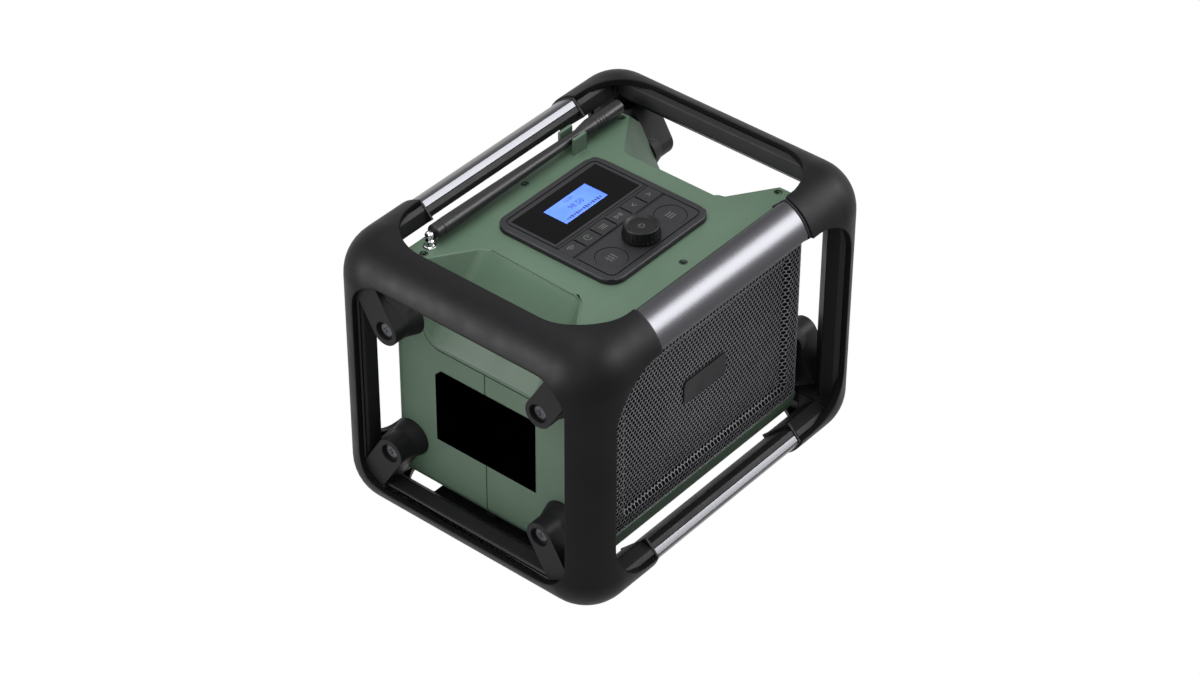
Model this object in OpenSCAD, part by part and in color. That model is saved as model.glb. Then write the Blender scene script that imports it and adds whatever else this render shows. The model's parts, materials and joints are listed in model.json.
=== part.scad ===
// Rugged internet radio: a green box body held between two rounded end frames,
// tied together by four metal-skinned corner bars. Millimetres, +Z up,
// front towards -Y, origin at the middle of the footprint on the floor.

/* [Frame] */
// Overall length across both end frames
frame_length = 302; // [290:1:330]
// Overall depth of an end frame
frame_depth = 235; // [228:1:250]
// Height of an end frame
frame_height = 226.5; // [220:0.5:240]
// Distance between the two long edges of a rail's skin
rail_width = 24.5; // [22:0.5:26]
// Radius of the rail's outer face
rail_radius = 36; // [34:0.5:40]
// Thickness of the soft skin on a rail
skin_wall = 3.5; // [2.5:0.1:4]
// Corner radius of the openings between the rails
window_r = 20; // [12:1:22]
// Step in from the skin's edge to the rail core
core_step = 2.2; // [1:0.1:3]
// Distance from the rail axis to the lower edge of the core's flat band
core_band = 24; // [22:0.5:25]
// Distance from the rail axis to the flat back of the core
core_back = 15.7; // [15:0.1:18]
// Width of the flat back of the core
core_back_w = 20; // [14:0.5:22]
// Reach of a corner socket from the end of the frame
socket_reach = 71; // [60:1:80]
// Length of the collar at the end of a corner socket
collar_l = 2; // [1:0.5:4]
// How far the collar stands out round the bar
collar_step = 0.7; // [0.3:0.1:1.2]

/* [Corner bars] */
// Radius of the metal skin's outer face
bar_radius = 34.2; // [32.5:0.1:35]
// Width of a corner bar
bar_width = 29.8; // [26:0.2:31]
// Thickness of the metal skin
bar_wall = 2; // [1:0.1:3]
// Bevel along the metal skin's edges
bar_bevel = 1.6; // [0.5:0.1:2.5]
// Distance from the bar axis to the lower edge of the metal skin
bar_skirt = 25.2; // [24:0.1:27]
// Distance from the bar axis to the back of the liner
bar_back = 17.7; // [16.5:0.1:20]
// Bevel along the back of the liner
liner_bevel = 3.3; // [1:0.1:4]
// Width of the tenon that enters the socket
tenon_w = 16; // [10:1:20]
// Thickness of the tenon
tenon_h = 7; // [4:0.5:8]
// Length of the tenon past the collar
tenon_l = 14; // [6:1:20]

/* [Body] */
// Room between an end of the body and the end of the frame
end_room = 28.6; // [26:0.2:33]
// Room between a side of the body and the side of the frame
side_room = 35.8; // [34:0.2:38]
// Room between the top cover and the top of the frame
top_room = 21.3; // [19:0.1:25]
// Height of the underside over the floor
body_lift = 18.8; // [18:0.1:22]
// Radius of the body's upright edges
body_r = 8; // [4:0.5:12]
// Wall of the body's shells
body_wall = 3; // [2:0.25:4]
// Height of the bevel along the top edge of each end
top_bevel = 14; // [11:0.5:18]
// Height of the bevel along the bottom edge of each end
low_bevel = 12; // [9:0.5:16]
// Height of the top cover's skirt
skirt_h = 22; // [16:1:30]
// Width of the seam line between shells
seam_gap = 0.4; // [0.2:0.1:0.8]

/* [Hand recess] */
// Length of the recess, from its top edge to the end of the body
recess_run = 50.1; // [44:0.1:54]
// Depth of the recess below the top cover where it meets the end
recess_h = 52.8; // [45:0.5:60]
// Distance from the body's side to the recess at its top edge
recess_side = 40.2; // [34:0.2:48]
// How much nearer to the body's side the recess is at its foot
recess_spread = 3.5; // [1:0.5:6]
// Angle at which the recess's side walls open, seen from above
recess_flare = 34; // [20:1:45]
// Height of the lip of the top cover under the recess
recess_lip = 3; // [2:0.25:6]

/* [Front and plates] */
// Thickness of the perforated grille
grille_t = 1.2; // [0.8:0.1:2]
// How far the grille lies behind the body's face
grille_set = 0.8; // [0.4:0.1:1.2]
// Height of the lip under the grille
grille_lip = 8.6; // [5:0.2:15]
// Distance from the body's left end to the grille's sunken field
field_left = 47.4; // [36:0.2:60]
// Distance from the body's right end to the grille's sunken field
field_right = 16.9; // [14:0.2:40]
// Distance from the body's underside to the sunken field
field_low = 19.2; // [14:0.2:40]
// Distance from the top cover to the sunken field
field_top = 50.2; // [36:0.2:60]
// Depth of the sunken field
field_depth = 3.1; // [1:0.1:4]
// Width of the slope round the sunken field
field_slope = 3.7; // [1:0.1:6]
// Width of the blank name plate
badge_w = 46; // [30:1:60]
// Height of the blank name plate
badge_h = 19; // [12:1:25]
// Thickness of the blank name plate
badge_t = 1.6; // [1:0.1:3]
// Offset of the blank name plate to the right of the middle
badge_x = 14; // [-20:1:30]
// Height of the blank name plate's middle over the floor
badge_z = 103.5; // [80:0.5:130]
// Width of the blank rating plate on the left end
rating_w = 88; // [60:1:100]
// Height of the blank rating plate
rating_h = 61; // [40:1:70]
// Height of the rating plate's middle over the floor
rating_z = 102; // [90:1:110]
// Thickness of the rating plate
rating_t = 0.5; // [0.3:0.1:1]
// Clipped corner of the rating plate
rating_clip = 5; // [2:0.5:8]

/* [Control panel] */
// Width of the control panel
panel_w = 106; // [100:1:112]
// Depth of the control panel
panel_d = 105.2; // [100:0.2:112]
// Corner radius of the control panel
panel_r = 12; // [6:1:18]
// Height of the control panel over the top cover
panel_h = 4.4; // [3.5:0.1:6]
// Thickness of the panel's face
panel_t = 2.4; // [2:0.1:3]
// Depth of the panel's rim below the top cover's outer face
panel_rim = 9; // [7:0.5:12]
// Width of the display window
window_w = 88; // [80:1:92]
// Depth of the display window
window_d = 39; // [30:1:42]
// Distance of the display window's middle behind the panel's middle
window_y = 24; // [22:0.5:28]
// Thickness of the display window
window_t = 1.5; // [1:0.1:1.8]
// Width of the lit display
lcd_w = 43.2; // [30:0.2:60]
// Depth of the lit display
lcd_d = 20.4; // [14:0.2:26]
// Thickness of the display module
lcd_t = 4; // [2.5:0.1:5]
// Spacing of the small keys
key_pitch = 16; // [14:0.5:17]
// Width of a small key
key_w = 14.6; // [10:0.1:15]
// Depth of a small key
key_d = 12.6; // [9:0.1:13]
// Distance of the key row in front of the panel's middle
key_y = 6.7; // [5.5:0.1:8]
// Radius of a round button
button_r = 11.2; // [8:0.1:12]
// Distance from the middle to a round button
button_x = 31; // [28:0.5:34]
// Distance of the round buttons and the knob in front of the middle
button_y = 33; // [31:0.5:35]
// Travel of keys and buttons
key_travel = 0.5; // [0.3:0.05:0.6]
// Clearance round keys and buttons
key_gap = 0.3; // [0.2:0.05:0.4]
// Radius of the knob at its foot
knob_r = 13.4; // [11:0.1:15]
// Height of the knob
knob_h = 9.4; // [7:0.1:14]
// Gap between the knob and the panel
knob_gap = 0.9; // [0.7:0.1:1.5]
// Radius of the encoder shaft
shaft_r = 3; // [2:0.1:3.5]
// Number of grip grooves round the knob
knob_grooves = 30; // [16:1:40]

/* [Antenna] */
// Distance of the antenna from the rear of the body
antenna_inset = 10.4; // [9.6:0.1:11.6]
// Height of the antenna's axis over the top cover
antenna_h = 9; // [8:0.1:12]
// Distance of the antenna's hinge from the left end of the body
hinge_inset = 27.7; // [25:0.1:32]
// Distance of the antenna's tip from the right end of the body
tip_inset = 19.1; // [17:0.1:40]
// Radius of the antenna's foot and tip
antenna_r = 5.6; // [4.5:0.1:6]
// Radius of the antenna's thinnest place
antenna_waist = 3.6; // [2.5:0.1:4.5]
// Length over which the antenna swells from the clip to its tip
antenna_swell = 18; // [10:1:30]
// Radius of the antenna post
post_r = 3.2; // [2.6:0.1:3.6]
// Radius of the antenna's hinge pin
pin_r = 1; // [0.8:0.1:1.2]
// Distance of the clip's middle from the right end of the body
clip_inset = 69.9; // [66:0.1:80]
// Length of a clip prong
clip_l = 13; // [8:0.5:16]
// Thickness of a clip prong
clip_t = 2.4; // [1.6:0.1:3]
// Room between the clip's prongs
clip_room = 10.4; // [8.5:0.1:11]

/* [Fasteners and feet] */
// Distance from the body's side to a frame screw
lug_side = 14.8; // [13:0.1:18]
// Distance from the frame's top or bottom to the nearest frame screw
lug_end_z = 60.75; // [57:0.05:63]
// Radius of a frame lug
lug_r = 10.8; // [9:0.1:12]
// Radius of a frame lug where it meets the body
lug_foot_r = 14.5; // [12:0.1:15.5]
// Depth of the screw's recess in a lug
lug_sink = 4; // [2:0.25:6]
// Radius of the screw's recess in a lug
lug_mouth = 6.3; // [5.5:0.1:7]
// Radius of a frame screw's head
frame_head_r = 4.8; // [4:0.1:5]
// Radius of a frame screw's shank
frame_shank_r = 2.5; // [2:0.1:3]
// Distance from the end of the body to the outer cover screws
ear_end = 19.1; // [18:0.1:24]
// Distance from the body's side to the cover screws
ear_side = 12.7; // [11.7:0.1:15]
// Radius of a cover screw's head
cover_head_r = 2.7; // [2.2:0.1:3]
// Radius of a cover screw's shank
cover_shank_r = 1.5; // [1.2:0.1:1.8]
// How far the feet stand below the frames
foot_proud = 0.5; // [0.3:0.1:1.5]
// Length of a foot pad
foot_l = 24; // [16:1:26]
// Width of a foot pad
foot_w = 13; // [8:0.5:14]
// Height of a foot pad
foot_h = 5; // [3:0.5:6]

/* [Rear] */
// Distance from the left end of the body to the battery door
door_inset = 25.4; // [22:0.2:32]
// Reach of the battery door to the right of the middle
door_reach = 7; // [3:0.5:12]
// Height of the battery door
door_h = 92; // [84:1:100]
// Height of the battery door's middle over the floor
door_z = 101; // [96:1:106]
// Thickness of the battery door
door_t = 2.7; // [2:0.1:2.7]
// Distance from the right end of the body to the socket plate
plate_inset = 21.4; // [18:0.2:26]
// Distance from the middle to the socket plate
plate_start = 31; // [26:0.5:34]
// Height of the socket plate
socket_h = 62; // [56:1:66]
// Height of the socket plate's middle over the floor
plate_z = 101; // [90:1:110]
// Clearance round doors and plates
door_gap = 0.5; // [0.3:0.05:1]

/* [Inside] */
// Radius of a loudspeaker's basket
speaker_r = 38; // [30:0.5:40]
// Depth of a loudspeaker
speaker_depth = 34; // [24:1:40]
// Distance from a loudspeaker's middle to the end of the body
speaker_inset = 64.4; // [58:0.2:68]
// Height of the loudspeakers over the floor
speaker_z = 101; // [80:1:120]
// Thickness of the circuit boards
board_t = 1.6; // [1:0.1:2]
// Depth of the main board
board_d = 60; // [50:1:66]
// Distance from the ends of the body to the main board
board_inset = 47.4; // [40:0.2:60]
// Length of the mains power unit
unit_l = 46; // [36:1:50]
// Depth of the mains power unit
unit_d = 30; // [24:1:34]
// Height of the mains power unit
unit_h = 28; // [20:1:32]
// Width of the battery pack
pack_w = 78; // [60:1:80]
// Height of the battery pack
pack_h = 66; // [56:1:70]
// Depth of the battery bay
bay_depth = 62; // [50:1:64]

/* [Hidden] */
$fn = 96;

far = 400;
// Distance from a rail's axis to the two faces that bound its skin
skin_in = (sqrt(2 * pow(rail_radius, 2) - pow(rail_width, 2)) - rail_width) / 2;
// Reach of the skin from the rail axes at the rounded corners of the openings
web_in = skin_in - window_r + window_r / sqrt(2);
reach = sqrt(pow(rail_radius, 2) - 2 * pow(web_in, 2));
// Rail axes
axis_x = frame_length / 2 - reach;
axis_y = frame_depth / 2 - reach;
axis_z = frame_height / 2 - reach;
mid_z = foot_proud + frame_height / 2;
socket_x = frame_length / 2 - socket_reach;
// Rail core
skin_fit = 0.2;
core_half = rail_width / sqrt(2) - core_step;
core_r = rail_radius - skin_wall - skin_fit;
core_top = sqrt(pow(core_r, 2) - pow(core_half, 2)) - 0.4;
core_low = (core_back - core_back_w / 2) / sqrt(2);
patch_lap = 0.5;
patch_low = core_low - patch_lap;
// Corner bars
bar_half_l = socket_x - collar_l;
bar_half = bar_width / 2;
bar_fit = 0.1;
bevel_n = sqrt(pow(bar_radius, 2) - pow(bar_half - bar_bevel, 2)) - bar_bevel;
tenon_n = (bar_back + bar_skirt) / 2;
tenon_fit = 0.15;
// Body
body_half_l = frame_length / 2 - end_room;
body_half_w = frame_depth / 2 - side_room;
body_top = foot_proud + frame_height - top_room;
seam_z = body_top - skirt_h;
recess_x = body_half_l - recess_run;
recess_top = body_half_w - recess_side;
recess_foot = recess_top + recess_spread;
ear_x = body_half_l - ear_end;
ear_y = body_half_w - ear_side;
recess_slope = atan2(recess_h, body_half_l - recess_x);
recess_z = body_top - recess_h;
wall_point = [recess_x, recess_top, body_top];
wall_top_dir = [cos(recess_flare), sin(recess_flare), 0];
wall_foot_dir = [body_half_l - recess_x, recess_foot - recess_top, -recess_h];
wall_normal = cross(wall_top_dir, wall_foot_dir) / norm(cross(wall_top_dir, wall_foot_dir));
// Rise of the recess's side wall along the end face
wall_run = -wall_normal[2] / wall_normal[1];
// Grille
grille_z0 = body_lift + grille_lip;
grille_y = body_half_w - body_r;
grille_fit = 0.2;
grille_face = body_half_w - grille_set;
shell_face = grille_face - grille_t - grille_fit;
field = [-body_half_l + field_left, body_half_l - field_right, body_lift + field_low, body_top - field_top];
field_grow = grille_t + grille_fit;
// Panel
panel_top = body_top + panel_h;
rim_wall = 1.4;
hole_edge = 3.5;
hole_w = panel_w - 2 * hole_edge;
hole_d = panel_d - 2 * hole_edge;
hole_r = panel_r - hole_edge;
hole_fit = 0.3;
face_low = panel_top - panel_t;
window_ledge = 2;
flange = 0.9;
flange_t = 1;
board_z = body_top - panel_rim;
board_low = body_lift + body_wall + 4;
switch_h = 2.5;
switch_w = 6;
stem_r = 1.6;
stem_gap = 0.2;
stem_low = board_z + board_t + switch_h + key_travel + stem_gap;
key_top = panel_top - 0.2;
flange_z = face_low - 0.3 - flange_t / 2;
// Encoder
rotor_r = 4.6;
rotor_h = 2;
encoder_w = 13;
encoder_h = 6;
rotor_z = board_z + board_t + encoder_h / 2 - rotor_h / 2;
shaft_fit = 0.05;
run_fit = 0.3;
// Antenna
antenna_x = body_half_l - hinge_inset;
antenna_y = body_half_w - antenna_inset;
antenna_l = antenna_x + body_half_l - tip_inset;
clip_x = body_half_l - clip_inset;
hinge_z = body_top + antenna_h;
post_collar = 1.4;
post_collar_h = 1.2;
post_flange = 0.6;
post_flange_h = 3;
tongue_t = 2;
tongue_fit = 0.3;
rod_start = post_r + 0.4;
// Lugs
lug_y = body_half_w - lug_side;
lug_z = frame_height / 2 - lug_end_z;
lug_face = body_half_l;
lug_end = axis_x + sqrt(pow(core_r, 2) - pow(skin_in, 2)) + 0.2;
lug_angle = atan2(axis_z - lug_z, axis_y - lug_y);
lug_reach = norm([axis_y - lug_y, axis_z - lug_z]);
flare_l = 12;
hole_play = 0.3;
boss_r = 6;
boss_l = 14;
frame_screw_l = 26;
cover_screw_l = 16;
head_h = 2.6;
cover_head_h = 1.8;
ear_sink = 2;
// Floor flanges of the frame cores and the feet below them
sole_inset = 29.7;
flange_half = body_half_w - sole_inset;
sole_top = body_lift - 1.2;
sole_t = 4;
sole_x0 = body_half_l - 16;
foot_x = sole_x0 + 1 + foot_w / 2;
foot_y = flange_half - 2 - foot_l / 2;
// Rear
rear_y = body_half_w;
door_w = body_half_l - door_inset + door_reach;
door_x = (body_half_l - door_inset - door_reach) / 2;
socket_w = body_half_l - plate_inset - plate_start;
plate_x = (body_half_l - plate_inset + plate_start) / 2;
hinge_r = 0.9;
door_hinge_z = door_z - door_h / 2 + door_t / 2;
catch_w = 24;
catch_h = 12;
catch_down = 6;
flap_w = 30;
flap_h = 26;
flap_t = 1.6;
flap_in = 0.1;
flap_x = plate_x + socket_w / 5;
flap_z = plate_z + 12;
inlet_x = plate_x - socket_w / 4 - 0.5;
inlet_z = plate_z - 12;

// Copies a shape to one side or the other of a plane
module side(s, axis) {
    if (s < 0) mirror(axis) children();
    else children();
}

// Lays a drawing made in the YZ plane along X
module along_x(length) {
    rotate([90, 0, 90]) linear_extrude(length) children();
}

module round_rect(w, d, r) {
    square([w - 2 * r, d], center = true);
    square([w, d - 2 * r], center = true);
    for (sx = [-1, 1]) for (sy = [-1, 1])
        translate([sx * (w / 2 - r), sy * (d / 2 - r)]) circle(r = r);
}

// Quarter ring that makes the rail skin, drawn about the rail's axis
module skin_section() {
    intersection() {
        difference() {
            circle(r = rail_radius);
            circle(r = rail_radius - skin_wall);
        }
        square(rail_radius + 1);
    }
}

// Section of the rail core, drawn about the rail's axis
module core_section() {
    rotate(-45) polygon([[-core_half, core_top], [core_half, core_top], [core_half, core_band],
        [core_back_w / 2, core_back], [-core_back_w / 2, core_back], [-core_half, core_band]]);
}

// One closed loop of rails on the right end, swept with the given section
module rail_loop() {
    for (s = [-1, 1]) {
        side(s, [0, 0, 1]) translate([axis_x, 0, axis_z])
            rotate([90, 0, 0]) linear_extrude(2 * axis_y, center = true) children();
        side(s, [0, 1, 0]) translate([axis_x, axis_y, 0])
            linear_extrude(2 * axis_z, center = true) children();
    }
    corners() rotate([90, 0, 90]) rotate_extrude(angle = 90) children();
}

// Repeats a shape at the four rail corners of the right end
module corners() {
    for (sy = [-1, 1]) for (sz = [-1, 1])
        side(sy, [0, 1, 0]) side(sz, [0, 0, 1]) translate([axis_x, axis_y, axis_z]) children();
}

module frame_skin(s) {
    color("#26262a") translate([0, 0, mid_z]) side(s, [1, 0, 0]) difference() {
        union() {
            rail_loop() skin_section();
            corners() translate([socket_x - axis_x, 0, 0]) along_x(axis_x - socket_x) skin_section();
        }
        // Openings at the top, in front and at the end
        linear_extrude(far, center = true)
            round_rect(2 * (axis_x + skin_in), 2 * (axis_y + skin_in), window_r);
        rotate([90, 0, 0]) linear_extrude(far, center = true)
            round_rect(2 * (axis_x + skin_in), 2 * (axis_z + skin_in), window_r);
        rotate([90, 0, 90]) linear_extrude(far, center = true)
            round_rect(2 * (axis_y + skin_in), 2 * (axis_z + skin_in), window_r);
    }
}

// Section of the collar round the end of a corner bar
module collar_section() {
    rotate(-45) intersection() {
        circle(r = bar_radius + collar_step);
        translate([-bar_half - collar_step, core_back])
            square([bar_width + 2 * collar_step, rail_radius]);
    }
}

module tenon_section(fit) {
    rotate(-45) translate([0, tenon_n])
        square([tenon_w + 2 * fit, tenon_h + 2 * fit], center = true);
}

// Lug that carries one screw, drawn at its screw and running to the rail corner
module lug_body() {
    translate([lug_face, 0, 0]) {
        along_x(lug_end - lug_face) {
            circle(r = lug_r);
            rotate(lug_angle) translate([0, -lug_r]) square([lug_reach + core_low, 2 * lug_r]);
        }
        rotate([0, 90, 0]) cylinder(h = flare_l, r1 = lug_foot_r, r2 = lug_r);
    }
}

module lug_holes() {
    translate([lug_face - 1, 0, 0]) rotate([0, 90, 0])
        cylinder(h = lug_end, r = frame_shank_r + hole_play);
    translate([lug_end - lug_sink, 0, 0]) rotate([0, 90, 0]) cylinder(h = far, r = lug_mouth);
}

module lugs() {
    for (sy = [-1, 1]) for (sz = [-1, 1])
        side(sy, [0, 1, 0]) side(sz, [0, 0, 1]) translate([0, lug_y, lug_z]) children();
}

module frame_core(s) {
    color("#161618") side(s, [1, 0, 0]) {
        translate([0, 0, mid_z]) difference() {
            union() {
                rail_loop() core_section();
                corners() {
                    translate([socket_x - axis_x, 0, 0]) along_x(axis_x - socket_x) core_section();
                    translate([bar_half_l - axis_x, 0, 0]) along_x(collar_l) collar_section();
                    intersection() {
                        sphere(r = core_r);
                        translate([-patch_lap, patch_low, patch_low])
                            cube([core_back + patch_lap, rail_radius, rail_radius]);
                    }
                }
                lugs() lug_body();
            }
            corners() translate([bar_half_l - axis_x - 1, 0, 0])
                along_x(tenon_l + 1 + tenon_fit) tenon_section(tenon_fit);
            lugs() lug_holes();
        }
        translate([sole_x0, -flange_half, sole_top - sole_t])
            cube([axis_x + core_back / 2 - sole_x0, 2 * flange_half, sole_t]);
        for (sy = [-1, 1]) translate([foot_x, sy * foot_y, (foot_h + sole_top - sole_t / 2) / 2])
            cube([foot_w + 2, foot_l + 2, sole_top - sole_t / 2 - foot_h], center = true);
    }
}

// Outer shape of a corner bar down to the metal skin's lower edge
module bar_outline() {
    intersection() {
        circle(r = bar_radius);
        polygon([[-bar_half, bar_skirt], [bar_half, bar_skirt], [bar_half, bevel_n],
            [0, bevel_n + bar_half], [-bar_half, bevel_n]]);
    }
}

module bar_core(fit) {
    intersection() {
        circle(r = bar_radius - bar_wall - fit);
        translate([-bar_half + bar_wall + fit, bar_skirt - 1])
            square([bar_width - 2 * (bar_wall + fit), rail_radius]);
    }
}

// Places a shape drawn about the bar axis at one of the four corners
module bar_place(sy, sz) {
    translate([0, 0, mid_z]) side(sy, [0, 1, 0]) side(sz, [0, 0, 1])
        translate([0, axis_y, axis_z]) children();
}

module bar(sy, sz) {
    color("#c4c5ca") bar_place(sy, sz) translate([-bar_half_l, 0, 0])
        along_x(2 * bar_half_l) rotate(-45) difference() {
            bar_outline();
            bar_core(0);
        }
}

module liner(sy, sz) {
    color("#1b1b1d") bar_place(sy, sz) {
        translate([-bar_half_l, 0, 0]) along_x(2 * bar_half_l) rotate(-45) union() {
            bar_core(bar_fit);
            polygon([[-bar_half, bar_skirt - bar_fit], [bar_half, bar_skirt - bar_fit],
                [bar_half, bar_back + liner_bevel], [bar_half - liner_bevel, bar_back],
                [liner_bevel - bar_half, bar_back], [-bar_half, bar_back + liner_bevel]]);
        }
        translate([-bar_half_l - tenon_l, 0, 0])
            along_x(2 * (bar_half_l + tenon_l)) tenon_section(0);
    }
}

// Everything on the far side of a plane through p whose normal is tilted by a about Y
module beyond(p, a, inset) {
    translate(p) rotate([0, a, 0]) translate([-far, -far, -inset]) cube(2 * far);
}

// Everything on the near side of the recess's side wall
module within_wall(inset) {
    translate(wall_point)
        rotate([0, acos(wall_normal[2]), atan2(wall_normal[1], wall_normal[0])])
            translate([-far, -far, inset - 2 * far]) cube(2 * far);
}

module recess_cut(inset) {
    intersection() {
        beyond([recess_x, 0, body_top], recess_slope, inset);
        within_wall(inset);
        mirror([0, 1, 0]) within_wall(inset);
    }
}

// The body's outer shape, or the same shape drawn in by a wall
module body_solid(inset) {
    difference() {
        translate([0, 0, body_lift + inset]) linear_extrude(body_top - body_lift - 2 * inset)
            round_rect(2 * (body_half_l - inset), 2 * (body_half_w - inset), body_r - inset);
        for (s = [-1, 1]) side(s, [1, 0, 0]) {
            beyond([body_half_l, 0, body_top - top_bevel], 45, inset);
            beyond([body_half_l, 0, body_lift + low_bevel], 135, inset);
            recess_cut(inset);
        }
    }
}

module body_skin() {
    difference() {
        body_solid(0);
        body_solid(body_wall);
    }
}

// The region of the top cover, seen along X; drop lowers its edge
module cover_region(drop) {
    rise = (seam_z - recess_z + recess_lip) * wall_run;
    foot = recess_foot + recess_lip;
    low = recess_z - recess_lip - drop;
    translate([-far / 2, 0, 0]) along_x(far) polygon([[-far, seam_z - drop],
        [-foot - rise, seam_z - drop], [-foot, low], [foot, low],
        [foot + rise, seam_z - drop], [far, seam_z - drop], [far, far], [-far, far]]);
}

module screw_spots() {
    for (x = [-ear_x, 0, ear_x]) for (y = [-ear_y, ear_y]) translate([x, y, 0]) children();
}

module top_cover() {
    color("#6a7b6e") {
        difference() {
            union() {
                intersection() {
                    body_skin();
                    cover_region(0);
                }
                screw_spots() translate([0, 0, body_top - body_wall - boss_l / 2])
                    cylinder(h = boss_l / 2 + 1, r = cover_head_r + 2);
            }
            screw_spots() {
                translate([0, 0, body_top - ear_sink]) cylinder(h = far, r = cover_head_r + hole_play);
                translate([0, 0, body_top - far / 4])
                    cylinder(h = far, r = cover_shank_r + hole_play);
            }
            translate([0, 0, body_top - body_wall - 1]) linear_extrude(body_wall + 2)
                round_rect(hole_w, hole_d, hole_r);
            translate([-antenna_x, antenna_y, body_top - body_wall - 1])
                cylinder(h = body_wall + 2, r = post_r + shaft_fit);
        }
        for (s = [-1, 1])
            translate([clip_x - clip_l / 2,
                antenna_y + s * (clip_room + clip_t) / 2 - clip_t / 2, body_top - 1])
                cube([clip_l, clip_t, antenna_h + antenna_r]);
    }
}

// Bosses inside the shells that take the frame screws
module frame_bosses(s) {
    for (sx = [-1, 1]) for (sz = [-1, 1])
        translate([0, s * lug_y, mid_z + sz * lug_z]) side(sx, [1, 0, 0])
            translate([body_half_l - boss_l, 0, 0]) rotate([0, 90, 0]) difference() {
                cylinder(h = boss_l - 1, r = boss_r);
                translate([0, 0, -1]) cylinder(h = boss_l + 2, r = frame_shank_r);
            }
}

module frame_screw_bores(s) {
    for (sx = [-1, 1]) for (sz = [-1, 1])
        translate([0, s * lug_y, mid_z + sz * lug_z]) side(sx, [1, 0, 0])
            translate([body_half_l - boss_l, 0, 0]) rotate([0, 90, 0])
                cylinder(h = far, r = frame_shank_r);
}

// Pillars inside the shells that take the cover screws
module cover_pillars(s) {
    for (x = [-ear_x, 0, ear_x]) translate([x, s * ear_y, 0]) difference() {
        translate([0, 0, seam_z - 2 * boss_l])
            cylinder(h = body_top - body_wall - boss_l / 2 - seam_z + 2 * boss_l, r = cover_head_r + 2);
        translate([0, 0, seam_z - 2 * boss_l - 1]) cylinder(h = far, r = cover_shank_r);
    }
    // Brackets that join the pillars to the long wall
    for (x = [-ear_x, 0, ear_x]) difference() {
        side(s, [0, 1, 0]) translate([x - 1.5, ear_y, seam_z - 2 * boss_l])
            cube([3, body_half_w - ear_y - 2, boss_l]);
        translate([x, s * ear_y, 0]) cylinder(h = far, r = cover_head_r + 1);
    }
}

// One half of the body below the top cover
module half_shell(s) {
    difference() {
        intersection() {
            body_skin();
            side(s, [0, 1, 0]) translate([-far, seam_gap / 2, 0]) cube(2 * far);
        }
        cover_region(seam_gap);
        frame_screw_bores(s);
    }
    frame_bosses(s);
    cover_pillars(s);
}

// Front strip of the body outside the given depth, from z0 to z1 and forward of y1
module front_strip(inset, y1, z0, z1) {
    difference() {
        translate([-far / 2, y1 - far, z0]) cube([far, far, z1 - z0]);
        body_solid(inset);
    }
}

// Space of the grille's sunken field, grown on all sides; over is how far it passes the grille's face
module field_space(grow, over) {
    face = -grille_face - over;
    back = -grille_face + field_depth + grow;
    lean = field_slope / field_depth;
    wide = grow + over * lean;
    tight = grow - (field_depth + grow) * lean;
    intersection() {
        translate([0, 0, -far]) linear_extrude(2 * far)
            polygon([[field[0] - wide, face], [field[1] + wide, face],
                [field[1] + tight, back], [field[0] - tight, back]]);
        translate([-far, 0, 0]) along_x(2 * far)
            polygon([[face, field[2] - wide], [face, field[3] + wide],
                [back, field[3] + tight], [back, field[2] - tight]]);
    }
}

// The loudspeakers' places, facing the front
module speaker_spots() {
    for (s = [-1, 1]) translate([s * (body_half_l - speaker_inset), 0, speaker_z]) children();
}

module front_shell() {
    color("#5f7667") difference() {
        union() {
            half_shell(-1);
            intersection() {
                field_space(field_grow + body_wall, 0);
                translate([-far, -shell_face, -far]) cube(2 * far);
            }
        }
        front_strip(grille_set + grille_t + grille_fit, -grille_y, grille_z0, seam_z);
        field_space(field_grow, body_wall);
        speaker_spots() rotate([90, 0, 0]) cylinder(h = far, r = speaker_r - 4);
    }
}

module grille() {
    color("#1c1d1f") difference() {
        union() {
            intersection() {
                body_solid(grille_set);
                front_strip(grille_set + grille_t, -grille_y - grille_fit, grille_z0 + grille_fit,
                    seam_z - seam_gap - grille_fit);
            }
            field_space(grille_t, 0);
        }
        field_space(0, body_wall);
        translate([badge_x, 0, badge_z]) rotate([90, 0, 0]) for (s = [-1, 1])
            translate([s * badge_w / 3, 0, 0]) cylinder(h = far, r = 1.5);
    }
}

module name_plate() {
    color("#101112") translate([badge_x, field_depth - grille_face, badge_z]) rotate([90, 0, 0]) {
        linear_extrude(badge_t) square([badge_w, badge_h], center = true);
        for (s = [-1, 1]) translate([s * badge_w / 3, 0, -grille_t]) cylinder(h = grille_t + 1, r = 1.4);
    }
}

module rating_plate() {
    color("#0c0c0d") translate([-body_half_l - rating_t, 0, rating_z])
        along_x(rating_t) difference() {
            square([rating_w, rating_h], center = true);
            translate([rating_w / 2, rating_h / 2]) rotate(45)
                square(rating_clip * sqrt(2), center = true);
        }
}

// Rear half of the body with its battery bay and socket opening
module rear_shell() {
    color("#5f7667") {
        difference() {
            half_shell(1);
            translate([-door_x, rear_y, door_z])
                cube([door_w + 2 * door_gap, 4 * body_wall, door_h + 2 * door_gap], center = true);
            translate([plate_x, rear_y, plate_z])
                cube([socket_w - 8, 4 * body_wall, socket_h - 8], center = true);
            translate([plate_x, rear_y, plate_z])
                cube([socket_w + 2 * door_gap, 3, socket_h + 2 * door_gap], center = true);
            translate([-door_x - door_w / 2 - 3, rear_y - door_t / 2, door_hinge_z])
                rotate([0, 90, 0]) cylinder(h = door_w + 6, r = hinge_r + shaft_fit);
        }
        battery_bay();
    }
}

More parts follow.
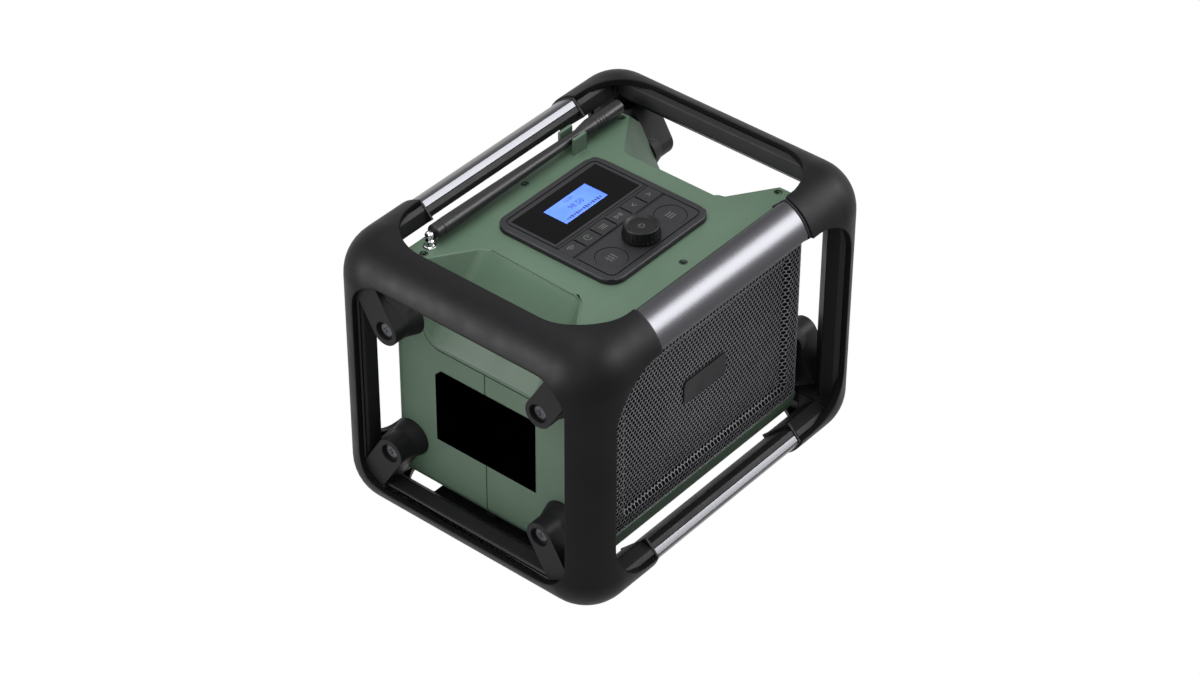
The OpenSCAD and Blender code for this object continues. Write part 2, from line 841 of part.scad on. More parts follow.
// Tray behind the door that holds the battery pack
module battery_bay() {
    wall = 2;
    translate([-door_x, rear_y - body_wall - bay_depth / 2, door_z]) difference() {
        cube([pack_w + 2 * wall + 1, bay_depth, pack_h + 2 * wall + 1], center = true);
        translate([0, wall, 0]) cube([pack_w + 1, bay_depth, pack_h + 1], center = true);
    }
    translate([-door_x, rear_y - body_wall - wall / 2, door_z]) difference() {
        cube([door_w + 4 * wall, wall, door_h + 4 * wall], center = true);
        cube([pack_w + 1, 2 * wall, pack_h + 1], center = true);
    }
}

module battery_pack() {
    color("#232527") translate([-door_x, rear_y - body_wall - bay_depth / 2 + 0.6, door_z])
        cube([pack_w, bay_depth - 4, pack_h], center = true);
}

module battery_door() {
    color("#5f7667") {
        translate([-door_x - door_w / 2, rear_y - door_t, door_hinge_z]) difference() {
            cube([door_w, door_t, door_h - door_t / 2]);
            translate([door_w / 2, door_t, door_h - door_t / 2 - catch_h / 2 - catch_down])
                cube([catch_w + seam_gap, door_t, catch_h + seam_gap], center = true);
        }
        translate([-door_x - door_w / 2, rear_y - door_t / 2, door_hinge_z]) rotate([0, 90, 0]) {
            cylinder(h = door_w, r = door_t / 2);
            translate([0, 0, -2]) cylinder(h = door_w + 4, r = hinge_r);
        }
    }
}

// Thumb catch set into the outer face of the battery door
module door_catch() {
    low = door_hinge_z + door_h - door_t / 2 - catch_h - catch_down;
    color("#1d1e20") translate([-door_x - catch_w / 2, rear_y - door_t / 2, low]) {
        cube([catch_w, door_t / 2 + 0.6, catch_h]);
        translate([0, 0, catch_h - 2]) cube([catch_w, door_t / 2 + 2, 2]);
    }
}

module socket_plate() {
    color("#191a1c") difference() {
        union() {
            translate([plate_x, rear_y - 0.75, plate_z]) cube([socket_w, 1.5, socket_h], center = true);
            translate([plate_x, rear_y - 7, plate_z])
                cube([socket_w - 9, 12, socket_h - 9], center = true);
        }
        // Figure-eight mains inlet
        for (s = [-1, 1]) translate([inlet_x + s * 3.6, rear_y - 9, inlet_z]) rotate([-90, 0, 0])
            cylinder(h = 20, r = 4.2);
        // Charging and data sockets behind the flap
        translate([flap_x, rear_y, flap_z])
            cube([flap_w + 2 * door_gap, 2 * (flap_t + flap_in + run_fit), flap_h + 2 * door_gap],
                center = true);
        translate([flap_x - 6, rear_y - 2, flap_z]) cube([5, 14, 13], center = true);
        translate([flap_x + 5, rear_y - 2, flap_z]) cube([3.4, 14, 9.4], center = true);
    }
}

module socket_flap() {
    color("#222426") translate([flap_x - flap_w / 2, rear_y - flap_in - flap_t, flap_z - flap_h / 2]) {
        translate([0, 0, flap_t / 2]) cube([flap_w, flap_t, flap_h - flap_t / 2]);
        translate([0, flap_t / 2, flap_t / 2]) rotate([0, 90, 0]) cylinder(h = flap_w, r = flap_t / 2);
        translate([flap_w / 2 - 5, flap_t / 2, flap_h - 4]) cube([10, flap_t / 2 + 1.4, 2]);
    }
}

module control_panel() {
    color("#2b2b30") difference() {
        union() {
            translate([0, 0, body_top]) linear_extrude(panel_h) round_rect(panel_w, panel_d, panel_r);
            translate([0, 0, board_z + board_t]) linear_extrude(panel_rim - board_t + 1)
                round_rect(hole_w - 2 * hole_fit, hole_d - 2 * hole_fit, hole_r - hole_fit);
        }
        translate([0, 0, board_z]) linear_extrude(face_low - board_z)
            round_rect(hole_w - 2 * (hole_fit + rim_wall), hole_d - 2 * (hole_fit + rim_wall),
                hole_r - hole_fit - rim_wall);
        translate([0, window_y, panel_top]) cube([window_w, window_d, 2 * window_t], center = true);
        translate([0, window_y, panel_top])
            cube([window_w - 2 * window_ledge, window_d - 2 * window_ledge, 4 * panel_t], center = true);
        for (i = [0:5]) translate([key_place(i), -key_y, panel_top])
            cube([key_w + 2 * key_gap, key_d + 2 * key_gap, 4 * panel_t], center = true);
        for (s = [-1, 1]) translate([s * button_x, -button_y, panel_top - 2 * panel_t])
            cylinder(h = 4 * panel_t, r = button_r + key_gap);
        translate([0, -button_y, panel_top - 2 * panel_t])
            cylinder(h = 4 * panel_t, r = shaft_r + run_fit);
    }
}

function key_place(i) = (i - 2.5) * key_pitch;

module display_window() {
    color("#08090b") translate([0, window_y, panel_top - window_t / 2])
        cube([window_w - 0.4, window_d - 0.4, window_t], center = true);
}

module display_module() {
    low = panel_top - window_t - 0.3 - lcd_t;
    color("#4d7df0") translate([0, window_y, low + lcd_t / 2]) cube([lcd_w, lcd_d, lcd_t], center = true);
    color("#2f5a3a") translate([0, window_y, low - board_t / 2])
        cube([window_w - 8, window_d - 8, board_t], center = true);
    for (sx = [-1, 1]) translate([sx * (window_w / 2 - 8), window_y, board_z + board_t])
        cylinder(h = low - board_z - 2 * board_t, r = 2);
}

module key(i) {
    color("#303136") translate([key_place(i), -key_y, 0]) {
        translate([0, 0, (key_top + flange_z) / 2]) cube([key_w, key_d, key_top - flange_z], center = true);
        translate([0, 0, flange_z]) cube([key_w - 0.2, key_d + 2 * flange, flange_t], center = true);
        translate([0, 0, stem_low]) cylinder(h = flange_z - stem_low, r = stem_r);
    }
}

module button(s) {
    color("#303136") translate([s * button_x, -button_y, 0]) {
        translate([0, 0, flange_z]) cylinder(h = key_top - flange_z, r = button_r);
        translate([0, 0, flange_z]) cylinder(h = flange_t, r = button_r + flange, center = true);
        translate([0, 0, stem_low]) cylinder(h = flange_z - stem_low, r = stem_r);
    }
}

module knob() {
    color("#17181a") translate([0, -button_y, panel_top + knob_gap]) difference() {
        union() {
            cylinder(h = knob_h - 1.2, r = knob_r);
            translate([0, 0, knob_h - 1.2]) cylinder(h = 1.2, r1 = knob_r, r2 = knob_r - 1.2);
        }
        translate([0, 0, -1]) cylinder(h = knob_h - 2, r = shaft_r + shaft_fit);
        translate([0, 0, knob_h - 1]) cylinder(h = 2, r = knob_r - 3);
        for (i = [1:knob_grooves]) rotate(i * 360 / knob_grooves)
            translate([knob_r + 0.4, 0, 1]) cylinder(h = knob_h, r = 0.9, $fn = 24);
    }
}

module encoder_shaft() {
    top = panel_top + knob_gap + knob_h - 3.2;
    low = board_z + board_t + key_travel + run_fit;
    color("#9b9ca0") translate([0, -button_y, low]) cylinder(h = top - low, r = shaft_r);
}

module encoder_rotor() {
    color("#c9cac5") translate([0, -button_y, rotor_z]) difference() {
        cylinder(h = rotor_h, r = rotor_r);
        translate([0, 0, -1]) cylinder(h = rotor_h + 2, r = shaft_r + shaft_fit);
    }
}

module encoder_body() {
    color("#8d8f92") translate([0, -button_y, board_z + board_t]) difference() {
        translate([0, 0, encoder_h / 2]) cube([encoder_w, encoder_w, encoder_h], center = true);
        translate([0, 0, -1]) cylinder(h = encoder_h + 2, r = shaft_r + run_fit);
        translate([0, 0, (encoder_h - rotor_h) / 2 - run_fit])
            cylinder(h = rotor_h + 2 * run_fit, r = rotor_r + run_fit);
    }
}

module key_board() {
    color("#2f5a3a") {
        translate([0, 0, board_z]) linear_extrude(board_t)
            round_rect(hole_w - 2 * hole_fit, hole_d - 2 * hole_fit, hole_r - hole_fit);
        for (i = [0:5]) translate([key_place(i), -key_y, board_z + board_t + switch_h / 2])
            cube([switch_w, switch_w, switch_h], center = true);
        for (s = [-1, 1]) translate([s * button_x, -button_y, board_z + board_t + switch_h / 2])
            cube([switch_w, switch_w, switch_h], center = true);
    }
}

module antenna_post() {
    color("#d5d6da") translate([-antenna_x, antenna_y, 0]) difference() {
        union() {
            translate([0, 0, body_top - body_wall - 2]) cylinder(h = antenna_h + body_wall + 2, r = post_r);
            translate([0, 0, hinge_z]) sphere(r = post_r);
            translate([0, 0, body_top]) cylinder(h = post_collar_h, r = post_r + post_collar);
            translate([0, 0, body_top - body_wall - post_flange_h])
                cylinder(h = post_flange_h, r = post_r + post_flange);
        }
        translate([0, 0, hinge_z + far / 2 - post_r - 0.6])
            cube([far, tongue_t + 2 * tongue_fit, far], center = true);
        translate([0, 0, hinge_z]) rotate([90, 0, 0]) cylinder(h = 4 * post_r, r = pin_r, center = true);
    }
}

module antenna_pin() {
    color("#b9babd") translate([-antenna_x, antenna_y, hinge_z]) rotate([90, 0, 0])
        cylinder(h = 2 * post_r - 0.8, r = pin_r, center = true);
}

module antenna_tongue() {
    color("#d5d6da") translate([-antenna_x, antenna_y, hinge_z]) rotate([90, 0, 0]) difference() {
        union() {
            cylinder(h = tongue_t, r = post_r - 0.6, center = true);
            translate([(rod_start + 6) / 2, 0, 0])
                cube([rod_start + 6, 2 * post_r - 2.4, tongue_t], center = true);
        }
        cylinder(h = 2 * tongue_t, r = pin_r + 0.05, center = true);
    }
}

// Half section of the rod along its axis: foot, taper, waist, swell and tip
module antenna_rod() {
    waist = clip_x + antenna_x;
    tip = waist + antenna_swell;
    color("#141416") translate([-antenna_x, antenna_y, hinge_z]) rotate([0, 90, 0]) difference() {
        rotate_extrude() polygon([[0, rod_start], [antenna_r - 1.2, rod_start],
            [antenna_r, rod_start + 1.2], [antenna_r, rod_start + 14], [antenna_waist, waist - clip_l / 2],
            [antenna_waist, waist + clip_l / 2], [antenna_r, tip], [antenna_r, antenna_l - 0.8],
            [antenna_r - 0.8, antenna_l], [0, antenna_l]]);
        translate([0, 0, rod_start + 3])
            cube([2 * post_r - 2.4 + 0.1, tongue_t + 0.1, 6.2], center = true);
    }
}

module speaker(s) {
    color("#3a3b3e") translate([s * (body_half_l - speaker_inset), field_depth + body_wall - shell_face,
        speaker_z]) rotate([-90, 0, 0]) {
        difference() {
            cylinder(h = 3, r = speaker_r);
            translate([0, 0, -1]) cylinder(h = 5, r = speaker_r - 6);
        }
        translate([0, 0, 2]) difference() {
            cylinder(h = speaker_depth - 14, r1 = speaker_r - 4, r2 = speaker_r / 2);
            translate([0, 0, -0.1])
                cylinder(h = speaker_depth - 16, r1 = speaker_r - 6, r2 = speaker_r / 2 - 3);
        }
        translate([0, 0, speaker_depth - 14]) cylinder(h = 14, r = speaker_r * 0.6);
    }
}

module main_board() {
    half = body_half_l - board_inset;
    stand = board_low - body_lift - body_wall;
    color("#2f5a3a") translate([0, 0, board_low]) {
        translate([-half, -board_d / 2, 0]) cube([2 * half, board_d, board_t]);
        for (sx = [-1, 1]) for (sy = [-1, 1])
            translate([sx * (half - 5), sy * (board_d / 2 - 5), -stand])
                cylinder(h = stand + board_t / 2, r = 2.5);
    }
}

// Mains power unit, standing on the right end of the main board
module power_unit() {
    color("#7c8085")
        translate([body_half_l - board_inset - unit_l - 1, board_d / 2 - unit_d, board_low + board_t])
            cube([unit_l, unit_d, unit_h]);
}

module foot_pads() {
    color("#101011") for (sx = [-1, 1]) for (sy = [-1, 1])
        translate([sx * foot_x, sy * foot_y, foot_h / 2]) cube([foot_w, foot_l, foot_h], center = true);
}

// Pan head with a cross recess, its seat at z = 0 and its shank below
module screw(head_r, head_t, shank_r, length) {
    difference() {
        cylinder(h = head_t, r = head_r);
        for (a = [0, 90]) rotate(a) translate([0, 0, head_t])
            cube([head_r * 1.1, head_r * 0.26, head_t], center = true);
    }
    translate([0, 0, -length]) cylinder(h = length, r = shank_r);
}

module frame_screws() {
    color("#4b4c50") translate([0, 0, mid_z]) for (sx = [-1, 1]) side(sx, [1, 0, 0])
        lugs() translate([lug_end - lug_sink, 0, 0]) rotate([0, 90, 0])
            screw(frame_head_r, head_h, frame_shank_r - 0.05, frame_screw_l);
}

module cover_screws() {
    color("#3b3c3f") screw_spots() translate([0, 0, body_top - ear_sink])
        screw(cover_head_r, cover_head_h, cover_shank_r - 0.05, cover_screw_l);
}

frame_skin(-1);  // left_frame_skin
frame_skin(1);  // right_frame_skin
frame_core(-1);  // left_frame_core
frame_core(1);  // right_frame_core
bar(-1, 1);  // front_top_bar
bar(-1, -1);  // front_bottom_bar
bar(1, 1);  // rear_top_bar
bar(1, -1);  // rear_bottom_bar
liner(-1, 1);  // front_top_liner
liner(-1, -1);  // front_bottom_liner
liner(1, 1);  // rear_top_liner
liner(1, -1);  // rear_bottom_liner
top_cover();
front_shell();
rear_shell();
grille();
name_plate();
rating_plate();
control_panel();
display_window();
display_module();
key(0);  // key_1
key(1);  // key_2
key(2);  // key_3
key(3);  // key_4
key(4);  // key_5
key(5);  // key_6
button(-1);  // left_button
button(1);  // right_button
knob();
encoder_shaft();
encoder_rotor();
encoder_body();
key_board();
antenna_post();
antenna_pin();
antenna_tongue();
antenna_rod();
speaker(-1);  // left_speaker
speaker(1);  // right_speaker
main_board();
power_unit();
battery_pack();
battery_door();
door_catch();
socket_plate();
socket_flap();
foot_pads();
frame_screws();
cover_screws();
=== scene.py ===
"""Looks of a rugged portable internet radio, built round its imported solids."""

import json
import math

import bmesh
import bpy
from mathutils import Matrix, Vector

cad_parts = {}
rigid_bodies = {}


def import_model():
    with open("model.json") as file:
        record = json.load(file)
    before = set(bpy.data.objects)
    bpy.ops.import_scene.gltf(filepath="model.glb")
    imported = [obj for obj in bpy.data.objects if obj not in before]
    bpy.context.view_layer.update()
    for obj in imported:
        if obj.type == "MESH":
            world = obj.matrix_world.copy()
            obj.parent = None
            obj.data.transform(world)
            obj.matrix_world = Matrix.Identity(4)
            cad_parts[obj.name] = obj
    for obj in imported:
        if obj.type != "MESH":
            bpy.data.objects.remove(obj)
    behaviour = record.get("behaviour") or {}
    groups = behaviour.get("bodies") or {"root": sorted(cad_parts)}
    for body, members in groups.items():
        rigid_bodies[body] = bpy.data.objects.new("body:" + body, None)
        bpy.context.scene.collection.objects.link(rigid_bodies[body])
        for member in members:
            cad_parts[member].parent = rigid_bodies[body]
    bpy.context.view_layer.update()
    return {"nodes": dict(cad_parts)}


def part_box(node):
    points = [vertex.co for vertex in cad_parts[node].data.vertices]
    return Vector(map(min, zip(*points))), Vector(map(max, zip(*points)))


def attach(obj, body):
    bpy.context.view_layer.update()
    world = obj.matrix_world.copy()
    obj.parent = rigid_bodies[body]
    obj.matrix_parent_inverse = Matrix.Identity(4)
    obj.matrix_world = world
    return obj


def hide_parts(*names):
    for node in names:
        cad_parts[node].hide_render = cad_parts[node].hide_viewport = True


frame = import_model()
nodes = frame["nodes"]

MM = 0.001
# Past every side of the radio
FAR = 400

# Main sizes of the radio, in millimetres.
# The end frames: height of their middle, half distances between their rails' axes, and their skins
MID_Z = 113.75
RAIL_AXIS = (115.494, 81.994, 77.744)
SKIN = {"round": 36.0, "wall": 5.3, "inwards": 10.06, "end": 80.0}
OPENING_ROUND = {"X": 24.6, "Y": 38, "Z": 40}
# The body: half length and half depth, foot and top, and the seam between cover and shells
BODY_X, BODY_Y = 122.4, 81.7
BODY_LOW, BODY_TOP = 18.8, 205.7
BODY_WALL = 3.0
SEAM_Z = BODY_TOP - 22
PANEL_TOP = BODY_TOP + 4.4


# Hands: selecting, shaping and joining

def put_down():
    """Object mode with nothing selected."""
    if bpy.context.object and bpy.context.object.mode != "OBJECT":
        bpy.ops.object.mode_set(mode="OBJECT")
    bpy.ops.object.select_all(action="DESELECT")


def take(piece):
    """Selects one piece and makes it the active one."""
    put_down()
    piece.select_set(True)
    bpy.context.view_layer.objects.active = piece
    return piece


def settle(name):
    """Names the newest primitive and puts its place into its mesh."""
    piece = bpy.context.object
    piece.name = piece.data.name = name
    bpy.ops.object.transform_apply(location=True, rotation=True, scale=True)
    return piece


def block(name, low, high):
    """A cube primitive stretched between two corners."""
    put_down()
    centre = [(a + b) / 2 * MM for a, b in zip(low, high)]
    bpy.ops.mesh.primitive_cube_add(size=1, location=centre)
    bpy.context.object.scale = [(b - a) * MM for a, b in zip(low, high)]
    return settle(name)


TURNS = {"X": (0, math.pi / 2, 0), "Y": (-math.pi / 2, 0, 0), "Z": (0, 0, 0)}


def drum(name, foot, radius, length, axis="Z", sides=64, top_radius=None):
    """A cylinder or cone primitive that stands on its foot and points along an axis."""
    put_down()
    middle = Vector(foot)
    middle["XYZ".index(axis)] += length / 2
    bpy.ops.mesh.primitive_cone_add(
        vertices=sides, radius1=radius * MM, depth=length * MM, location=middle * MM,
        radius2=(radius if top_radius is None else top_radius) * MM, rotation=TURNS[axis])
    return settle(name)


def choose(piece, kind, test=lambda item: True):
    """Enters edit mode with all faces, edges or vertices selected that pass the test, and no others."""
    take(piece)
    bpy.ops.object.mode_set(mode="EDIT")
    bpy.ops.mesh.select_mode(type=kind)
    bpy.ops.mesh.select_all(action="DESELECT")
    mesh = bmesh.from_edit_mesh(piece.data)
    for item in {"FACE": mesh.faces, "EDGE": mesh.edges, "VERT": mesh.verts}[kind]:
        if test(item):
            item.select_set(True)
    mesh.select_flush_mode()
    bmesh.update_edit_mesh(piece.data)


def leave():
    bpy.ops.object.mode_set(mode="OBJECT")


def runs_along(axis):
    """A test for edges that run along X, Y or Z."""
    index = "XYZ".index(axis)

    def test(edge):
        line = edge.verts[1].co - edge.verts[0].co
        return abs(line[index]) > 0.999 * line.length
    return test


def round_edges(piece, test, radius, segments=6):
    """Bevels the chosen edges to a round of that radius."""
    choose(piece, "EDGE", test)
    bpy.ops.mesh.bevel(offset=radius * MM, segments=segments, profile=0.5, affect="EDGES")
    leave()


def combine(piece, others, how="DIFFERENCE"):
    """Cuts or joins pieces by a boolean, and uses up the other pieces."""
    for other in others:
        take(piece)
        step = piece.modifiers.new("combine", "BOOLEAN")
        step.object, step.operation, step.solver = other, how, "EXACT"
        bpy.ops.object.modifier_apply(modifier=step.name)
        bpy.data.objects.remove(other, do_unlink=True)
    return piece


def near(point, line_start, line_end, reach=0.12):
    """Whether a point in metres lies on the stretch between two points in millimetres."""
    start, end = Vector(line_start) * MM, Vector(line_end) * MM
    along = max(0.0, min(1.0, (point - start).dot(end - start) / (end - start).length_squared))
    return (start + (end - start) * along - point).length < reach * MM


def on_lines(lines, reach=0.12):
    """A test for edges that lie on one of the given straight lines."""
    return lambda edge: any(all(near(v.co, a, b, reach) for v in edge.verts) for a, b in lines)


def mirrored(point, axis):
    """The point on the other side of the radio's middle."""
    return tuple(-c if name == axis else c for name, c in zip("XYZ", point))


def both_ways(lines, axes):
    """The same lines again, mirrored across each of the given axes."""
    for axis in axes:
        lines = lines + [tuple(mirrored(point, axis) for point in line) for line in lines]
    return lines


def join(pieces, name):
    """Several pieces as one object."""
    put_down()
    for piece in pieces:
        piece.select_set(True)
    bpy.context.view_layer.objects.active = pieces[0]
    bpy.ops.object.join()
    pieces[0].name = pieces[0].data.name = name
    return pieces[0]


def move(piece, by):
    """Moves a piece's mesh by millimetres."""
    choose(piece, "VERT")
    bpy.ops.transform.translate(value=Vector(by) * MM)
    leave()
    return piece


def turn(piece, angle, axis, centre):
    """Turns a piece's mesh about an axis through a point; angle in degrees."""
    take(piece)
    piece.data.transform(Matrix.Translation(Vector(centre) * MM)
                         @ Matrix.Rotation(math.radians(angle), 4, axis)
                         @ Matrix.Translation(-Vector(centre) * MM))
    return piece


def tidy(piece):
    """Merges doubles and dissolves the flat faces' inner edges."""
    choose(piece, "VERT")
    bpy.ops.mesh.remove_doubles(threshold=0.02 * MM)
    bpy.ops.mesh.dissolve_limited(angle_limit=math.radians(0.3))
    leave()
    return piece


def spun(name, profile, foot, axis="Z", steps=48):
    """A turned shape: its half outline, (radius, height) pairs, is spun about an axis through its foot."""
    mesh = bpy.data.meshes.new(name)
    piece = bpy.data.objects.new(name, mesh)
    bpy.context.scene.collection.objects.link(piece)
    points = [Vector((r, 0, h)) * MM for r, h in profile]
    mesh.from_pydata(points, [(i, i + 1) for i in range(len(points) - 1)], [])
    choose(piece, "VERT")
    bpy.ops.mesh.spin(steps=steps, angle=2 * math.pi, center=(0, 0, 0), axis=(0, 0, 1))
    bpy.ops.mesh.select_all(action="SELECT")
    bpy.ops.mesh.remove_doubles(threshold=0.005 * MM)
    bpy.ops.mesh.normals_make_consistent(inside=False)
    leave()
    spin = Matrix.Identity(4) if axis == "Z" else Matrix.Rotation(math.radians(90), 4, "Y")
    mesh.transform(Matrix.Translation(Vector(foot) * MM) @ spin)
    return piece


def twin(piece, name):
    """A copy with a mesh of its own."""
    copy = piece.copy()
    copy.data = piece.data.copy()
    copy.name = copy.data.name = name
    bpy.context.scene.collection.objects.link(copy)
    return copy


def shade(piece, angle):
    """Smooth shading up to an angle, with flat faces kept flat."""
    take(piece)
    bpy.ops.object.shade_smooth_by_angle(angle=math.radians(angle))
    flat = piece.modifiers.new("flat_faces", "WEIGHTED_NORMAL")
    flat.mode, flat.keep_sharp = "FACE_AREA", True
    bpy.ops.object.modifier_apply(modifier=flat.name)
    return piece


def soften(piece, width, segments=2, angle=32, smooth=40):
    """Small round on every sharp edge, and smooth shading."""
    choose(piece, "VERT")
    bpy.ops.mesh.remove_doubles(threshold=0.02 * MM)
    bpy.ops.mesh.dissolve_limited(angle_limit=math.radians(0.3))
    leave()
    if width:
        step = piece.modifiers.new("edge", "BEVEL")
        step.width, step.segments = width * MM, segments
        step.limit_method, step.angle_limit = "ANGLE", math.radians(angle)
        step.use_clamp_overlap = step.harden_normals = False
        step.miter_outer = "MITER_ARC"
        bpy.ops.object.modifier_apply(modifier=step.name)
    return shade(piece, smooth) if smooth else piece


def from_solid(node, name):
    """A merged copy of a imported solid, to be given soft edges."""
    mesh = nodes[node].data.copy()
    piece = bpy.data.objects.new(name, mesh)
    bpy.context.scene.collection.objects.link(piece)
    take(piece)
    if mesh.has_custom_normals:
        bpy.ops.mesh.customdata_custom_splitnormals_clear()
    choose(piece, "VERT")
    bpy.ops.mesh.remove_doubles(threshold=0.005 * MM)
    leave()
    mesh.materials.clear()
    return piece


def dress(piece, material, body, slot, *stands_for):
    """Gives a finished piece its material and its body; its slot is not used."""
    piece.data.materials.clear()
    piece.data.materials.append(material)
    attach(piece, body)
    if stands_for:
        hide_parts(*stands_for)
    return piece


# Materials

def srgb(code, alpha=1.0):
    """An sRGB hex colour as the linear values that the shaders use."""
    parts = [int(code[i:i + 2], 16) / 255 for i in (1, 3, 5)]
    return [c / 12.92 if c <= 0.04045 else ((c + 0.055) / 1.055) ** 2.4 for c in parts] + [alpha]


def add(tree, kind, links=(), **settings):
    """Adds a node, sets its settings and sockets, and links other nodes into it."""
    node = tree.nodes.new(kind)
    for key, value in settings.items():
        if hasattr(node, key):
            setattr(node, key, value)
        else:
            node.inputs[int(key[1:]) if key[1:].isdigit() else key.replace("_", " ")].default_value = value
    for source, output, target in links:
        tree.links.new(source.outputs[output], node.inputs[target])
    return node


def new_material(name, colour, roughness, metallic=0.0, **more):
    """A material with its shader; returns it with its node tree and shader."""
    material = bpy.data.materials.new(name)
    material.use_nodes = True
    tree = material.node_tree
    shader = tree.nodes["Principled BSDF"]
    shader.inputs["Base Color"].default_value = srgb(colour)
    shader.inputs["Roughness"].default_value = roughness
    shader.inputs["Metallic"].default_value = metallic
    for key, value in more.items():
        shader.inputs[key.replace("_", " ")].default_value = value
    return material, tree, shader


def grain(tree, shader, per_mm, depth_mm, detail=3.0, stretch=None):
    """Fine bump in object space: lumps 1/per_mm apart and depth_mm deep."""
    place = add(tree, "ShaderNodeTexCoord")
    source, output = place, "Object"
    if stretch:
        source = add(tree, "ShaderNodeMapping", [(place, "Object", "Vector")], Scale=stretch)
        output = "Vector"
    noise = add(tree, "ShaderNodeTexNoise", [(source, output, "Vector")],
                Scale=per_mm / MM, Detail=detail, Roughness=0.55)
    bump = add(tree, "ShaderNodeBump", [(noise, "Fac", "Height")], Strength=1.0, Distance=depth_mm * MM)
    tree.links.new(bump.outputs["Normal"], shader.inputs["Normal"])
    return noise


def mottled(tree, shader, socket, low, high, scale_per_mm, start=0.35, end=0.65):
    """Slow change of a colour or value over the surface, from one noise."""
    place = add(tree, "ShaderNodeTexCoord")
    noise = add(tree, "ShaderNodeTexNoise", [(place, "Object", "Vector")],
                Scale=scale_per_mm / MM, Detail=4.0, Roughness=0.6)
    if isinstance(low, str):
        ramp = add(tree, "ShaderNodeValToRGB", [(noise, "Fac", "Fac")])
        ramp.color_ramp.elements[0].color, ramp.color_ramp.elements[1].color = srgb(low), srgb(high)
        ramp.color_ramp.elements[0].position, ramp.color_ramp.elements[1].position = start, end
        tree.links.new(ramp.outputs["Color"], shader.inputs[socket])
    else:
        scale = add(tree, "ShaderNodeMapRange", [(noise, "Fac", "Value")], From_Min=start, From_Max=end,
                    To_Min=low, To_Max=high)
        tree.links.new(scale.outputs["Result"], shader.inputs[socket])


def moulded(name, low, high, roughness, per_mm=3.0, depth=0.01, shine=0.5, metallic=0.0):
    """A surface with fine grain and a slight change of tone and of gloss: moulded, coated or plated.
    Real grain is 0.05 to 0.1 mm wide. It is drawn 0.3 mm wide or more, so that it shows."""
    material, tree, shader = new_material(name, low, roughness, metallic, Specular_IOR_Level=shine)
    mottled(tree, shader, "Base Color", low, high, 0.02)
    mottled(tree, shader, "Roughness", roughness - 0.04, roughness + 0.04, 0.06)
    grain(tree, shader, per_mm, depth)
    return material


def brushed_aluminium():
    """Brushed and anodised: fine lines along the bar, drawn ten times too coarse so that they show."""
    material, tree, shader = new_material("brushed_anodised_aluminium", "#49494c", 0.27, metallic=1.0)
    grain(tree, shader, 1.2, 0.005, detail=2.0, stretch=(0.02, 1.0, 1.0))
    return material


# Soft-touch over-moulding: satin, nearly black, with a soft broad highlight
soft_touch = moulded("soft_touch_TPE", "#0c0c0e", "#101012", 0.48, per_mm=2.2, depth=0.012, shine=0.09)
# Glass-filled nylon of the cores: duller and blacker
nylon = moulded("moulded_nylon", "#0f0f11", "#131315", 0.52, per_mm=2.2, depth=0.02, shine=0.14)
# Moulded ABS with a fine matt texture, grey-green all through
green_abs = moulded("moulded_green_ABS", "#4c6250", "#516755", 0.50, shine=0.3)
aluminium = brushed_aluminium()
# Baked paint on the steel sheet: even mid grey with a broad, dull shine
sheet_paint = moulded("painted_steel_sheet", "#7c7c81", "#848489", 0.42, shine=0.3)
# Woven cloth behind the holes: swallows nearly all light
cloth_black = moulded("black_speaker_cloth", "#030303", "#060607", 0.9, per_mm=1.5, depth=0.05, shine=0.1)
# Moulded ABS again: charcoal and matt for panel and keys, blacker and smoother for the knob
panel_abs = moulded("moulded_charcoal_ABS", "#1c1c1f", "#202023", 0.48, shine=0.2)
key_abs = moulded("moulded_key_ABS", "#1b1b1e", "#1f1f22", 0.50, shine=0.2)
knob_abs = moulded("moulded_black_ABS", "#09090a", "#0c0c0d", 0.38, depth=0.006, shine=0.16)
# Films: the window's mirrors the lamps, and the label's is dead matt
gloss_film = moulded("gloss_black_film", "#040405", "#060607", 0.12, per_mm=1.0, depth=0.001, shine=0.05)
label_film = moulded("matt_black_film", "#000000", "#010101", 0.6, depth=0.004, shine=0.0)
# Rubbers: a satin skin on the rod, dry and dull on the pads
rod_rubber = moulded("ribbed_rubber", "#101012", "#141416", 0.42, shine=0.25)
pad_rubber = moulded("foot_rubber", "#101011", "#151517", 0.7, per_mm=2.0, depth=0.02)
# Steels: chrome like a mirror, zinc dull and grey, the cover's screws painted in its green
chrome = moulded("chrome_plate", "#c9cacd", "#cfd0d3", 0.10, per_mm=1.0, depth=0.0005, metallic=1.0)
screw_steel = moulded("zinc_plated_steel", "#4a4b4f", "#55565a", 0.38, metallic=1.0)
painted_screw = moulded("green_painted_steel", "#4c6250", "#516755", 0.45, shine=0.3)
# Painted shade: near-black steel for the drive sockets' walls and floors, in place of the shade in these
# hollows
shaded_socket = moulded("painted_socket_shade", "#1b1b1d", "#222224", 0.40, metallic=1.0)
# Signs in dull grey ink
print_grey = moulded("pad_print_grey", "#555a53", "#5c6159", 0.5, depth=0.002)
# Inside: green mask over the boards, and plain steel cans
board_mask = moulded("solder_mask", "#1f4a2c", "#265635", 0.4, per_mm=2.0)
can_steel = moulded("steel_can", "#7d8085", "#868a8f", 0.4, per_mm=2.0, metallic=1.0)


def lit_display():
    """Backlit liquid crystal: even blue light, a shade lighter towards one corner."""
    material, tree, shader = new_material("backlit_display", "#4a76e8", 0.3)
    mottled(tree, shader, "Base Color", "#3f6ce0", "#5a86f4", 0.03)
    mottled(tree, shader, "Emission Color", "#4a6eea", "#6486fa", 0.02)
    shader.inputs["Emission Strength"].default_value = 0.75
    return material


display_blue = lit_display()
display_ink = moulded("display_ink", "#1d2c6e", "#24357c", 0.4, depth=0.001)


# Camera, light and floor

